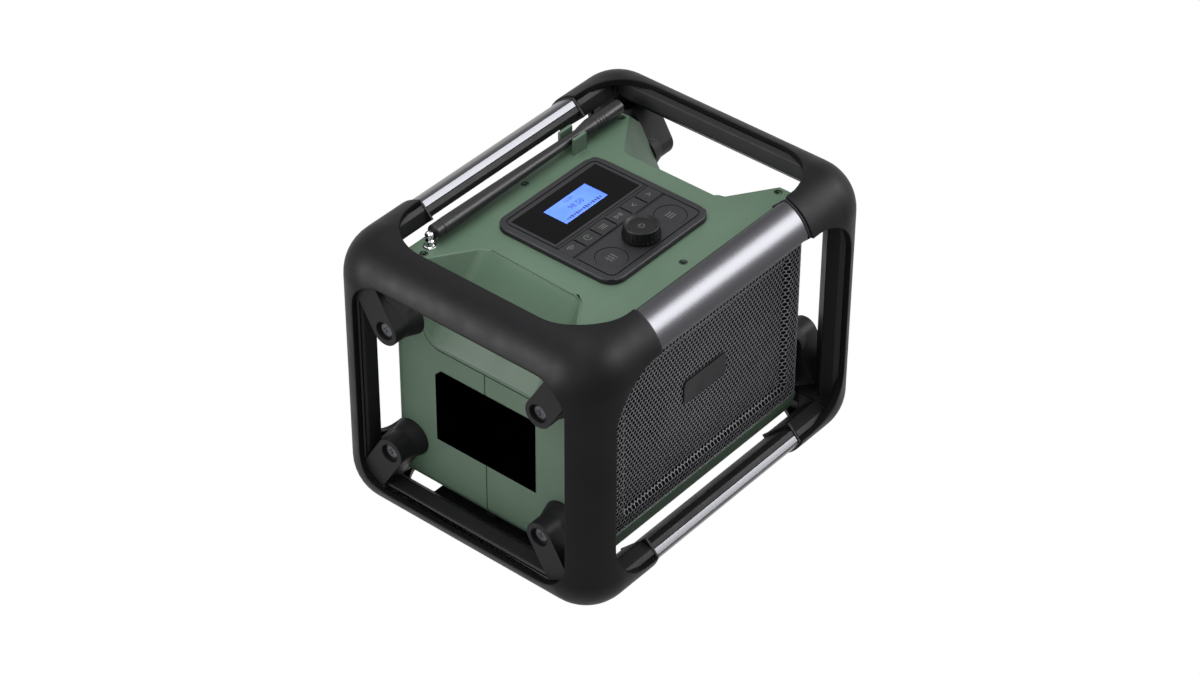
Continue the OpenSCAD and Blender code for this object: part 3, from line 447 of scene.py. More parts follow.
def place_camera():
    """The photograph's view: 51 degrees round to the left, 38 degrees down."""
    data = bpy.data.cameras.new("camera")
    data.lens, data.sensor_width, data.clip_end = 104.353, 36.0, 20.0
    camera = bpy.data.objects.new("camera", data)
    bpy.context.scene.collection.objects.link(camera)
    right = Vector((0.63948, -0.76880, 0.00331))
    down = Vector((-0.47417, -0.39780, -0.78544))
    ahead = right.cross(down).normalized()
    facing = Matrix((right, -down, -ahead)).transposed()
    camera.matrix_world = Matrix.Translation(Vector((-1451.2, -1198.4, 1590.25)) * MM) @ facing.to_4x4()
    bpy.context.scene.camera = camera


def area_lamp(name, place, size, power, aim=(0, 0, 110), along=None):
    """A rectangular lamp that faces its aim; along gives the direction of its first side."""
    data = bpy.data.lights.new(name, "AREA")
    data.shape, data.size, data.size_y, data.energy = "RECTANGLE", size[0], size[1], power
    lamp = bpy.data.objects.new(name, data)
    bpy.context.scene.collection.objects.link(lamp)
    lamp.location = Vector(place) * MM
    lamp.rotation_euler = (Vector(aim) * MM - lamp.location).to_track_quat("-Z", "Y").to_euler()
    if along:
        back = (lamp.location - Vector(aim) * MM).normalized()
        side = (Vector(along) - Vector(along).dot(back) * back).normalized()
        lamp.rotation_euler = Matrix((side, back.cross(side), back)).transposed().to_euler()
    return lamp


def seen_directly(tree):
    """One for camera rays and for what metal and glass mirror or let through, otherwise nought."""
    path = add(tree, "ShaderNodeLightPath")
    mirrored = add(tree, "ShaderNodeMath", [(path, "Is Camera Ray", 0), (path, "Is Glossy Ray", 1)],
                   operation="MAXIMUM")
    return add(tree, "ShaderNodeMath", [(mirrored, "Value", 0), (path, "Is Transmission Ray", 1)],
               operation="MAXIMUM")


def lay_floor():
    """A pale floor: white where the camera looks at it, plain for everything else."""
    put_down()
    bpy.ops.mesh.primitive_plane_add(size=12)
    floor = bpy.context.object
    floor.name = "floor"
    material, tree, shader = new_material("floor_white", "#f2f2f2", 0.9)
    output = tree.nodes["Material Output"]
    white = add(tree, "ShaderNodeEmission", Color=(1, 1, 1, 1), Strength=1.0)
    mix = add(tree, "ShaderNodeMixShader",
              [(seen_directly(tree), "Value", 0), (shader, "BSDF", 1), (white, "Emission", 2)])
    tree.links.new(mix.outputs["Shader"], output.inputs["Surface"])
    floor.data.materials.append(material)


def light_room():
    world = bpy.data.worlds.new("room")
    bpy.context.scene.world = world
    world.use_nodes = True
    tree = world.node_tree
    back = tree.nodes["Background"]
    back.inputs["Color"].default_value = (1, 1, 1, 1)
    back.inputs["Strength"].default_value = 0.32
    white = add(tree, "ShaderNodeBackground", Color=(1, 1, 1, 1), Strength=1.0)
    mix = add(tree, "ShaderNodeMixShader",
              [(seen_directly(tree), "Value", 0), (back, "Background", 1), (white, "Background", 2)])
    tree.links.new(mix.outputs["Shader"], tree.nodes["World Output"].inputs["Surface"])
    area_lamp("top_softbox", (-150, 100, 1600), (1.6, 1.2), 23)
    area_lamp("left_softbox", (-1350, -550, 1100), (1.0, 1.0), 9)
    sheen = area_lamp("rail_strip", (-1500, 800, 560), (1.0, 0.6), 50, aim=(-140, 0, 190), along=(0, 1, 0))
    sheen.visible_diffuse = False
    glow = area_lamp("bar_strip", (907, -1025, 1060), (1.9, 0.62), 50, aim=(0, -118, 190), along=(1, 0, 0))
    glow.visible_diffuse = False


place_camera()
lay_floor()
light_room()


# End frames

def rounded_shell(name, radius):
    """The box that both end frames are cut from, rounded all over."""
    half = [axis + radius for axis in RAIL_AXIS]
    shape = block(name, [-half[0], -half[1], MID_Z - half[2]], [half[0], half[1], MID_Z + half[2]])
    round_edges(shape, lambda edge: True, radius, 14)
    return shape


def opening(axis, margin, corner):
    """A long cutter for the opening seen along one axis, with rounded corners."""
    half = [side + margin for side in RAIL_AXIS]
    half["XYZ".index(axis)] = FAR
    shape = block("opening", [-half[0], -half[1], MID_Z - half[2]], [half[0], half[1], MID_Z + half[2]])
    round_edges(shape, runs_along(axis), corner, 14)
    return shape


def end_frame_skins():
    """Soft skins: a rounded shell, opened at the top, in front and at the ends, without its middle."""
    shell = rounded_shell("skins", SKIN["round"])
    combine(shell, [rounded_shell("inner", SKIN["round"] - SKIN["wall"])])
    cuts = [opening(axis, SKIN["inwards"], corner) for axis, corner in OPENING_ROUND.items()]
    combine(shell, cuts + [block("middle", [-SKIN["end"], -FAR, -FAR], [SKIN["end"], FAR, FAR])])
    soften(shell, 0.7, 2, angle=35, smooth=32)
    take(shell)
    bpy.ops.object.mode_set(mode="EDIT")
    bpy.ops.mesh.select_all(action="SELECT")
    bpy.ops.mesh.separate(type="LOOSE")
    leave()
    found = [piece for piece in bpy.context.scene.objects if piece.name.startswith("skins")]
    for piece in found:
        side = "left" if piece.data.vertices[0].co.x < 0 else "right"
        piece.name = piece.data.name = f"{side}_soft_skin"
        dress(piece, soft_touch, "chassis", "soft_black", f"{side}_frame_skin")


end_frame_skins()

# The lugs: place of their screws, radius of the mouths, depth of the seats, height of the heads
LUG = {"y": BODY_Y - 14.8, "z": 53.0, "mouth": 7.0, "sink": 4.0, "head": 2.6}
under_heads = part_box("frame_screws")[1][0] / MM - LUG["head"]


def wide_mouths(core, side):
    """Wider mouths for the lugs' screws, from under their heads to past the lugs' faces."""
    floor, past = under_heads + 0.01, LUG["sink"] + 2
    start = floor if side == "right" else -floor - past
    cuts = [drum("mouth", (start, y, MID_Z + z), LUG["mouth"], past, "X", sides=48)
            for y in (-LUG["y"], LUG["y"]) for z in (-LUG["z"], LUG["z"])]
    return combine(core, cuts)


for side in ("left", "right"):
    core = wide_mouths(from_solid(f"{side}_frame_core", f"{side}_core"), side)
    soften(core, 0.6, 2, angle=30, smooth=30)
    dress(core, nylon, "chassis", "core_black", f"{side}_frame_core")

for spot in ("front_top", "front_bottom", "rear_top", "rear_bottom"):
    metal = soften(from_solid(f"{spot}_bar", f"{spot}_metal"), 0.35, 2, angle=30, smooth=30)
    dress(metal, aluminium, "chassis", "bar_metal", f"{spot}_bar")
    inner = soften(from_solid(f"{spot}_liner", f"{spot}_inner"), 0.5, 2, angle=30, smooth=30)
    dress(inner, nylon, "chassis", "core_black", f"{spot}_liner")


# The body's shells

# A hand recess: its top and foot corners, the flare of its side walls in degrees, and the lip that
# the cover has round it, with its gap to the shells
RECESS = {"x": 72.3, "top": 41.5, "foot": 45.0, "z": 152.9, "flare": 34.0, "lip": 3.0, "gap": 0.4}
EAR_BEVEL, LOW_BEVEL = 14.0, 12.0
# Radii of the recesses' corners, outside and inside the wall, and of their upper rims
FILLET, INNER_FILLET, RIM_ROUND = 4.5, 5.85, 1.2
# Radii at the seam's lower corners: of the cover, of the shells and of the knife that widens the seam
COVER_ROUND, SHELL_ROUND, KNIFE_ROUND = 7.5, 7.74, 8.0
LOW_ROUND = 3.0


def recess_corner(depth):
    """A test for the edges where floor and side wall of a recess meet, that far inside its surface."""
    start = Vector((RECESS["x"], RECESS["top"], BODY_TOP))
    down = Vector((BODY_X, RECESS["foot"], RECESS["z"])) - start
    flare = math.radians(RECESS["flare"])
    wall = Vector((math.cos(flare), math.sin(flare), 0)).cross(down).normalized()
    floor = Vector((0, 1, 0)).cross(down).normalized()
    floor *= 1 if floor.z > 0 else -1
    wall *= 1 if wall.y < 0 else -1

    def on_both(vertex):
        from_start = Vector((abs(vertex.co.x), abs(vertex.co.y), vertex.co.z)) / MM - start
        return abs(from_start.dot(floor) + depth) < 0.08 and abs(from_start.dot(wall) + depth) < 0.08

    def slanted(edge):
        return abs(edge.verts[0].co.z - edge.verts[1].co.z) > 20 * MM
    return lambda edge: slanted(edge) and all(map(on_both, edge.verts))


def on_recess_rim(edge):
    """Edges of the recesses' upper rims and of the slanted ears beside them."""
    x = [abs(v.co.x) / MM for v in edge.verts]
    y = [abs(v.co.y) / MM for v in edge.verts]
    z = [v.co.z / MM for v in edge.verts]
    if all(abs(c - BODY_TOP) < 0.05 for c in z) and min(x) > RECESS["x"] - 0.1:
        flare = math.tan(math.radians(RECESS["flare"]))
        inside = all(b < RECESS["top"] + (a - RECESS["x"]) * flare + 0.3 for a, b in zip(x, y))
        return inside or min(x) > BODY_X - EAR_BEVEL - 0.1
    ear = BODY_TOP - EAR_BEVEL
    return all(abs(c - ear) < 0.05 for c in z) and min(x) > BODY_X - 0.05


def seam_corners(drop):
    """The short edges through the wall at the seam's lower corners, under the hand recesses."""
    y, z = RECESS["foot"] + RECESS["lip"], RECESS["z"] - RECESS["lip"] - drop
    return both_ways([((BODY_X - 4, y, z), (BODY_X + 1, y, z))], "XY")


def low_corners():
    """The edges along the depth where the slanted foot of each end begins and ends."""
    lines = [((BODY_X, -BODY_Y - 1, BODY_LOW + LOW_BEVEL), (BODY_X, BODY_Y + 1, BODY_LOW + LOW_BEVEL)),
             ((BODY_X - LOW_BEVEL, -BODY_Y - 1, BODY_LOW), (BODY_X - LOW_BEVEL, BODY_Y + 1, BODY_LOW))]
    return both_ways(lines, "X")


cover = tidy(from_solid("top_cover", "cover_shell"))
round_edges(cover, recess_corner(0), FILLET, 6)
round_edges(cover, recess_corner(BODY_WALL), INNER_FILLET, 6)
round_edges(cover, on_lines(seam_corners(0), 0.2), COVER_ROUND, 8)
round_edges(cover, on_recess_rim, RIM_ROUND, 3)
dress(soften(cover, 0.3, 2, angle=35, smooth=35), green_abs, "chassis", "green_plastic", "top_cover")

# The seams: their width, their depth, how the slanted seam runs sideways over its height, and how far
# up the seam between the shells reaches at the ends
SEAM = {"wide": 0.9, "deep": 2.4, "run": 0.5733, "end_top": 160}
OVER_TOP = 260.0


def seam_knife():
    """The space above a line just under the cover's seam, without the body's inside."""
    y, z = RECESS["foot"] + RECESS["lip"], RECESS["z"] - RECESS["lip"] - SEAM["wide"]
    knife = block("seam_knife", [-FAR, -y, z], [FAR, y, OVER_TOP])
    choose(knife, "FACE", lambda face: face.normal.z > 0.9)
    spread = (y + (OVER_TOP - z) * SEAM["run"]) / y
    bpy.ops.transform.resize(value=(1, spread, 1), center_override=(0, 0, OVER_TOP * MM))
    leave()
    upper = block("upper", [-FAR, -FAR, SEAM_Z - SEAM["wide"]], [FAR, FAR, OVER_TOP + 1])
    combine(knife, [upper], "UNION")
    lower_edges = both_ways([((-FAR, y, z), (FAR, y, z))], "Y")
    round_edges(tidy(knife), on_lines(lower_edges, 0.2), KNIFE_ROUND, 8)
    inside = block("inside", [SEAM["deep"] - BODY_X, SEAM["deep"] - BODY_Y, 0],
                   [BODY_X - SEAM["deep"], BODY_Y - SEAM["deep"], OVER_TOP + 5])
    return combine(knife, [inside])


def seam_shadow(shell):
    """Widens the seams on the outside, so that they show as dark lines."""
    half, start = SEAM["wide"] / 2, BODY_X - SEAM["deep"]
    ends = [block("end_line", [min(x, x + 4 * way), -half, 0], [max(x, x + 4 * way), half, SEAM["end_top"]])
            for way, x in ((-1, -start), (1, start))]
    return combine(shell, [seam_knife()] + ends)


def felt_faces(shell, material):
    """Black felt on the wall behind the grille and in the speakers' holes."""
    shell.data.materials.append(material)
    for face in shell.data.polygons:
        middle = face.center / MM
        behind_grille = -BODY_Y + 0.9 < middle.y < -70 and middle.z < SEAM_Z + 1
        wall = face.normal.y < -0.3 and middle.z > GRILLE["low"] - 0.5 and abs(middle.x) < BODY_X - 0.3
        speaker_hole = middle.z > GRILLE["low"] + 4 and abs(middle.x) < BODY_X - 12
        if behind_grille and (wall or speaker_hole):
            face.material_index = 1
    return shell


# The front shell's lip leans back from its foot by that angle
LIP_FOOT, LIP_ANGLE = 24.0, 12.9
# The grille: how far behind the body's faces it lies, its lower and upper edge, the radius of its
# upright edges, and the depth and the slope's width of its sunken field
GRILLE = {"set": 0.8, "low": 27.6, "high": 183.1, "round": 7.2, "deep": 3.1, "slope": 3.7}
for node, name in (("front_shell", "front_body"), ("rear_shell", "rear_body")):
    shell = tidy(from_solid(node, name))
    round_edges(shell, on_lines(seam_corners(RECESS["gap"]), 0.2), SHELL_ROUND, 8)
    round_edges(shell, on_lines(low_corners(), 0.2), LOW_ROUND, 4)
    if node == "front_shell":
        lean = block("lean", [-FAR, -BODY_Y - 3, LIP_FOOT], [FAR, -BODY_Y, LIP_FOOT + 5])
        combine(shell, [turn(lean, -LIP_ANGLE, "X", (0, -BODY_Y, LIP_FOOT))])
    soften(shell, 0.2, 1, angle=35, smooth=None)
    shade(seam_shadow(shell), 35)
    dress(shell, green_abs, "chassis", "green_plastic", node)
    if node == "front_shell":
        felt_faces(shell, cloth_black)
# Ribs that close the seam from the inside, so that it shows no light
RIB = {"x": BODY_X - 4.1, "half": 1.0, "y": 4, "low": BODY_LOW + 5, "high": 146}
ribs = [block("rib", [x - RIB["half"], -RIB["y"], RIB["low"]], [x + RIB["half"], RIB["y"], RIB["high"]])
        for x in (-RIB["x"], RIB["x"])]
dress(soften(join(ribs, "seam_ribs"), 0.3, 1), nylon, "chassis", "core_black")


# The grille

# The sunken field, the holes' pitch and row height, the metal left between them, the sheet's
# thickness and half length, the place of the first hole and the number of holes and double rows
FIELD = {"x": (-75.0, 105.5), "z": (38.0, 155.5)}
PITCH = 3.61
ROW = PITCH * math.sqrt(3) / 2
HOLE_WEB = 0.54
SHEET_THICK = 0.4
SHEET_END = 120.2
FIRST_HOLE = (72.25 - 53 * PITCH, 29.75)
HOLES, DOUBLE_ROWS = 69, 26


def front_form():
    """The surface that the grille follows, as a solid."""
    half, face = BODY_X - GRILLE["set"], -(BODY_Y - GRILLE["set"])
    form = block("front_form", [-half, face, GRILLE["low"]], [half, -60, GRILLE["high"]])
    corners = both_ways([((half, face, 0), (half, face, FAR))], "X")
    round_edges(form, on_lines(corners), GRILLE["round"], 10)
    before = 3.0
    rim = before * GRILLE["slope"] / GRILLE["deep"]
    (x0, x1), (z0, z1) = FIELD["x"], FIELD["z"]
    well = block("well", [x0 - rim, face - before, z0 - rim], [x1 + rim, face + GRILLE["deep"], z1 + rim])
    wide, tall, shrink = x1 - x0 + 2 * rim, z1 - z0 + 2 * rim, rim + GRILLE["slope"]
    choose(well, "FACE", lambda side: side.normal.y > 0.9)
    bpy.ops.transform.resize(value=(1 - 2 * shrink / wide, 1, 1 - 2 * shrink / tall))
    leave()
    return combine(form, [well])


def hex_cell(x, z):
    """One six-sided cell with its hole, standing in front of the grille."""
    put_down()
    bpy.ops.mesh.primitive_circle_add(vertices=6, radius=PITCH / math.sqrt(3) * MM, fill_type="NGON",
                                      location=(x * MM, -90 * MM, z * MM), rotation=(math.pi / 2, 0, 0))
    cell = settle("cell")
    choose(cell, "FACE")
    bpy.ops.mesh.inset(thickness=HOLE_WEB / 2 * MM)
    bpy.ops.mesh.delete(type="FACE")
    leave()
    return cell


def repeat(piece, count, step):
    """Repeats a piece's mesh in a row and merges the cells."""
    take(piece)
    row = piece.modifiers.new("row", "ARRAY")
    row.count, row.use_relative_offset, row.use_constant_offset = count, False, True
    row.constant_offset_displace = Vector(step) * MM
    row.use_merge_vertices, row.merge_threshold = True, 0.02 * MM
    bpy.ops.object.modifier_apply(modifier=row.name)


def crease(piece, axis, place, drop_beyond=0):
    """Splits a sheet's faces at a place on an axis; drop_beyond, 1 or -1, also drops that side."""
    point, normal = Vector(), Vector()
    point["XYZ".index(axis)], normal["XYZ".index(axis)] = place * MM, drop_beyond or 1
    choose(piece, "FACE")
    bpy.ops.mesh.bisect(plane_co=point, plane_no=normal, clear_outer=bool(drop_beyond))
    leave()


def perforated_sheet():
    """Steel sheet with six-sided holes, pressed to the body's front with its sunken field."""
    x, z = FIRST_HOLE
    sheet = join([hex_cell(x, z - ROW), hex_cell(x + PITCH / 2, z)], "perforated_sheet")
    move(sheet, (-PITCH / 2, 0, 0))
    choose(sheet, "VERT")
    bpy.ops.mesh.remove_doubles(threshold=0.02 * MM)
    leave()
    repeat(sheet, HOLES, (PITCH, 0, 0))
    repeat(sheet, DOUBLE_ROWS, (0, 0, 2 * ROW))
    crease(sheet, "X", -SHEET_END, -1)
    crease(sheet, "X", SHEET_END, 1)
    crease(sheet, "Z", GRILLE["low"] + 0.2, -1)
    crease(sheet, "Z", GRILLE["high"] - 0.2, 1)
    for axis, (low, high) in (("X", FIELD["x"]), ("Z", FIELD["z"])):
        for place in (low, high, low + GRILLE["slope"], high - GRILLE["slope"]):
            crease(sheet, axis, place)
    form = front_form()
    press = sheet.modifiers.new("press", "SHRINKWRAP")
    press.target, press.wrap_method = form, "PROJECT"
    press.use_project_x, press.use_project_y, press.use_project_z = False, True, False
    press.use_negative_direction, press.use_positive_direction = True, True
    take(sheet)
    bpy.ops.object.modifier_apply(modifier=press.name)
    bpy.data.objects.remove(form, do_unlink=True)
    choose(sheet, "FACE")
    bpy.ops.mesh.normals_make_consistent(inside=False)
    leave()
    facing = sum(face.normal.y * face.area for face in sheet.data.polygons)
    wall = sheet.modifiers.new("wall", "SOLIDIFY")
    wall.thickness, wall.offset = SHEET_THICK * MM, 1.0 if facing > 0 else -1.0
    take(sheet)
    bpy.ops.object.modifier_apply(modifier=wall.name)
    return sheet


def grille_border():
    """The sheet's plain rim: turned-in ends and a narrow band above and below."""
    border = from_solid("grille", "grille_border")
    end, low, high = SHEET_END - 0.2, GRILLE["low"] + 0.6, GRILLE["high"] - 0.6
    combine(border, [block("core", [-end, -95, low], [end, -60, high])])
    return soften(border, 0.15, 1, angle=40)


sheet = join([perforated_sheet(), grille_border()], "perforated_grille")
dress(sheet, sheet_paint, "chassis", "grille_black", "grille")

PLATE = {"x": (-9, 37), "y": (-79.4, -77.9), "z": (94, 113), "round": 4.0}
plate = block("name_plate_blank", *zip(PLATE["x"], PLATE["y"], PLATE["z"]))
round_edges(plate, runs_along("Y"), PLATE["round"], 8)
dress(soften(plate, 0.4, 2), panel_abs, "chassis", "plate_black", "name_plate")

label = from_solid("rating_plate", "rating_label")
dress(soften(label, 0.12, 1), label_film, "chassis", "plate_black", "rating_plate")


# The control panel

KEY_PITCH, KEY_Y, KEY_TOP = 16.0, -6.7, PANEL_TOP - 0.2
BUTTON_X, BUTTON_Y = 31.0, -33.0
# The groove round the inner plate: its middle line, half its width, its corners and its depth
RING = {"x": 47.05, "y": 47.3, "half": 0.55, "round": 5.5, "deep": 1.1}
# Straight lines across the plate, behind and in front of the keys: from, to and depth
LINES = {"behind_keys": (1.4, 2.2, 0.7), "before_keys": (-16.4, -13.7, 1.0)}
KEY_SLOT = {"half": 0.6, "reach": 5.2, "deep": 1.6}


def ring_cutter():
    """A groove between the panel's rim and its inner plate."""
    low, high = PANEL_TOP - RING["deep"], PANEL_TOP + 1
    x, y, half = RING["x"], RING["y"], RING["half"]
    outer = block("ring", [-x - half, -y - half, low], [x + half, y + half, high])
    round_edges(outer, runs_along("Z"), RING["round"], 8)
    inner = block("ring_inner", [half - x, half - y, low - 1], [x - half, y - half, high + 1])
    round_edges(inner, runs_along("Z"), RING["round"] - 2 * half, 8)
    return combine(outer, [inner])


def panel():
    """The panel's rim, its groove and the lines that bound the row of keys."""
    shape = tidy(from_solid("control_panel", "panel_face"))
    rim_x, rim_y = (RING["x"] + 4) * MM, (RING["y"] + 3) * MM

    def on_rim(vertex):
        on_top = abs(vertex.co.z - PANEL_TOP * MM) < 1e-5
        return on_top and (abs(vertex.co.x) > rim_x or abs(vertex.co.y) > rim_y)
    round_edges(shape, lambda edge: all(map(on_rim, edge.verts)), 1.7, 3)
    cuts = [ring_cutter()]
    for y0, y1, deep in LINES.values():
        cuts.append(block("line", [-RING["x"], y0, PANEL_TOP - deep], [RING["x"], y1, PANEL_TOP + 1]))
    half, reach = KEY_SLOT["half"], KEY_SLOT["reach"]
    for number in range(-2, 3):
        x = number * KEY_PITCH
        cuts.append(block("slot", [x - half, KEY_Y - reach, PANEL_TOP - KEY_SLOT["deep"]],
                          [x + half, KEY_Y + reach, PANEL_TOP + 1]))
    combine(shape, cuts)
    return soften(shape, 0.16, 2, angle=35, smooth=30)


dress(panel(), panel_abs, "chassis", "panel_black", "control_panel")

WINDOW = {"x": 43.8, "y0": 4.7, "y1": 43.3, "thick": 1.5}
LCD = {"x": 21.6, "y0": 13.8, "y1": 34.2}
window = block("window_film", [-WINDOW["x"], WINDOW["y0"], PANEL_TOP - WINDOW["thick"]],
               [WINDOW["x"], WINDOW["y1"], PANEL_TOP])
combine(window, [block("lcd_hole", [-LCD["x"], LCD["y0"], PANEL_TOP - 3],
                       [LCD["x"], LCD["y1"], PANEL_TOP + 1])])
dress(soften(window, 0.12, 1), gloss_film, "chassis", "window", "display_window")
lit = block("lit_glass", [-LCD["x"] + 0.02, LCD["y0"] + 0.02, PANEL_TOP - 1.75],
            [LCD["x"] - 0.02, LCD["y1"] - 0.02, PANEL_TOP - 0.06])
dress(soften(lit, 0.05, 1), display_blue, "chassis", "display")


def lettering(name, words, place, size, thick=0.05):
    """Plain characters as a thin mesh, read from the front."""
    put_down()
    bpy.ops.object.text_add(location=(0, 0, 0))
    text = bpy.context.object
    text.data.body, text.data.size, text.data.extrude = words, size * MM, thick / 2 * MM
    text.data.align_x, text.data.align_y, text.data.resolution_u = "CENTER", "CENTER", 2
    bpy.ops.object.convert(target="MESH")
    mark = bpy.context.object
    mark.location = Vector(place) * MM
    settle(name)
    choose(mark, "VERT")
    bpy.ops.mesh.remove_doubles(threshold=0.001 * MM)
    bpy.ops.mesh.normals_make_consistent(inside=False)
    leave()
    mark.data.materials.clear()
    return mark


def bar_mark(x, y, z, length, width, angle=0.0):
    """A printed bar, laid at an angle."""
    mark = block("bar_mark", [x - length / 2, y - width / 2, z], [x + length / 2, y + width / 2, z + 0.05])
    return turn(mark, angle, "Z", (x, y, z))


def ring_mark(x, y, z, radius, width, start=0.0, sweep=360.0):
    """A printed ring, or a part of one, from one angle through a sweep."""
    steps = max(8, int(sweep / 12))
    pieces = []
    for number in range(steps):
        angle = start + sweep * (number + 0.5) / steps
        reach = math.radians(angle)
        length = math.radians(sweep / steps) * (radius + width / 2) + 0.02
        pieces.append(bar_mark(x + radius * math.cos(reach), y + radius * math.sin(reach), z,
                               width, length, angle))
    return join(pieces, "ring_mark")


def print_marks(name, marks, body, slot="key_black"):
    dress(join(marks, name), print_grey, body, slot)


for number in range(1, 7):
    key = soften(from_solid(f"key_{number}", f"key_cap_{number}"), 0.3, 2, angle=40)
    dress(key, key_abs, f"key_{number}", "key_black", f"key_{number}")
for side in ("left", "right"):
    button = soften(from_solid(f"{side}_button", f"{side}_round_key"), 0.4, 2, angle=40)
    dress(button, key_abs, f"{side}_button", "key_black", f"{side}_button")


# Generic symbols, drawn round a middle: x, y and height of the printed face

def waves(x, y, z):
    """Three arcs over one another: a wireless link."""
    return [ring_mark(x, y - 1.6, z, radius, 0.5, 45, 90) for radius in (1.6, 3.0, 4.4)]


def clock_face(x, y, z):
    """An open ring with two hands."""
    return [ring_mark(x, y, z, 2.7, 0.5, 20, 290), bar_mark(x, y + 0.7, z, 0.5, 1.9),
            bar_mark(x + 0.6, y, z, 1.4, 0.5)]


def dotted_list(x, y, z):
    """Three lines, each with a dot before it."""
    rows = (-1.6, 0, 1.6)
    return ([bar_mark(x + 0.6, y + row, z, 4.6, 0.5) for row in rows]
            + [bar_mark(x - 2.8, y + row, z, 0.7, 0.6) for row in rows])


def play_and_pause(x, y, z):
    """Two upright bars beside a triangle."""
    return ([bar_mark(x + side, y, z, 0.6, 3.4) for side in (1.4, 2.8)]
            + [bar_mark(x - 1.7, y + up * 0.85, z, 3.4, 0.5, -up * 28) for up in (-1, 1)]
            + [bar_mark(x - 3.1, y, z, 0.5, 3.4)])


def arrowhead(x, y, z, way):
    """Points left for -1 and right for 1."""
    length = 3.6
    return [bar_mark(x + way * 0.2, y + up * length * 0.22, z, length, 0.55, -way * up * 28)
            for up in (-1, 1)]


def sliders(x, y, z):
    """Three upright lines, each with a slider at another height."""
    heights = {-2.6: 1.4, 0: -1.2, 2.6: 0.4}
    return ([bar_mark(x + side, y, z, 0.5, 6.4) for side in heights]
            + [bar_mark(x + side, y + up, z, 1.8, 1.0) for side, up in heights.items()])


def three_lines(x, y, z):
    """Three long lines: a menu."""
    return [bar_mark(x, y + row, z, 6.4, 0.6) for row in (-2.2, 0, 2.2)]


def power_sign(x, y, z):
    """A ring that is open at the top, with a bar in the gap."""
    return [ring_mark(x, y, z, 2.0, 0.5, 125, 290), bar_mark(x, y + 1.5, z, 0.5, 2.0)]


KEY_SIGNS = (waves, clock_face, dotted_list, play_and_pause,
             lambda *spot: arrowhead(*spot, -1), lambda *spot: arrowhead(*spot, 1))
for number, sign in enumerate(KEY_SIGNS, start=1):
    print_marks(f"key_print_{number}", sign((number - 3.5) * KEY_PITCH, KEY_Y, KEY_TOP), f"key_{number}")
print_marks("left_print", sliders(-BUTTON_X, BUTTON_Y, KEY_TOP), "left_button")
print_marks("right_print", three_lines(BUTTON_X, BUTTON_Y, KEY_TOP), "right_button")


def display_signs():
    """The display's content: a time, a frequency and a row of level bars."""
    clock = lettering("clock_digits", "12:30", (0, 31.0, PANEL_TOP - 0.05), 4.2)
    station = lettering("station_digits", "98.50", (0, 23.6, PANEL_TOP - 0.05), 6.4)
    heights = (1.2, 1.9, 2.6, 1.6, 2.9, 2.2, 1.4, 2.4, 3.0, 2.0, 1.3, 2.5, 1.8, 2.8, 1.5)
    levels = [bar_mark(2.4 * place - 16.8, 16.6, PANEL_TOP - 0.07, 1.6, height)
              for place, height in enumerate(heights)]
    return join([clock, station] + levels, "display_digits")


dress(display_signs(), display_ink, "chassis", "display")


# The knob: its foot and the depth to its dish; its half outline in pairs of radius and height
KNOB_FOOT, KNOB_DISH = PANEL_TOP + 0.9, 7.5
KNOB_SIDE = [(0, 0), (12.9, 0), (13.4, 0.5), (13.3, 1.6), (12.3, 8.6), (12.0, 9.1)]
KNOB_RIM = [(11.6, 9.35), (11.2, 9.2), (9.4, 7.7), (8.9, KNOB_DISH), (0, KNOB_DISH)]
GRIPS = 24
BORE = {"r": 3.05, "deep": 6.2}


def knob():
    """The turning knob: a slight taper, a ring of hollow grips, a raised rim round a dished top."""
    shape = spun("knob_cap", KNOB_SIDE + KNOB_RIM, (0, BUTTON_Y, KNOB_FOOT), steps=120)
    first = drum("grip", (13.6, BUTTON_Y, KNOB_FOOT + 1.6), 0.75, 9.0, sides=12, top_radius=1.5)
    grips = [turn(twin(first, "grip"), number * 360 / GRIPS, "Z", (0, BUTTON_Y, 0))
             for number in range(GRIPS)]
    bpy.data.objects.remove(first, do_unlink=True)
    combine(shape, [join(grips, "grips")])
    combine(shape, [drum("bore", (0, BUTTON_Y, KNOB_FOOT - 1), BORE["r"], BORE["deep"] + 1, sides=48)])
    return soften(shape, 0.12, 1, angle=40, smooth=30)


dress(knob(), knob_abs, "dial", "knob_black", "knob")
print_marks("power_print", power_sign(0, BUTTON_Y, KNOB_FOOT + KNOB_DISH + 0.01), "dial", "knob_black")


# The antenna

# The hinge's middle; along the rod from there: its start, its waist at the clip, its thick tip, its end
HINGE = (-94.7, 71.3, 214.7)
ROD_START, ROD_WAIST, ROD_TIP, ROD_END = 3.6, 147.2, 165.2, 198.0
TONGUE_SLOT = {"long": 6.15, "y": 1.05, "z": 2.05}


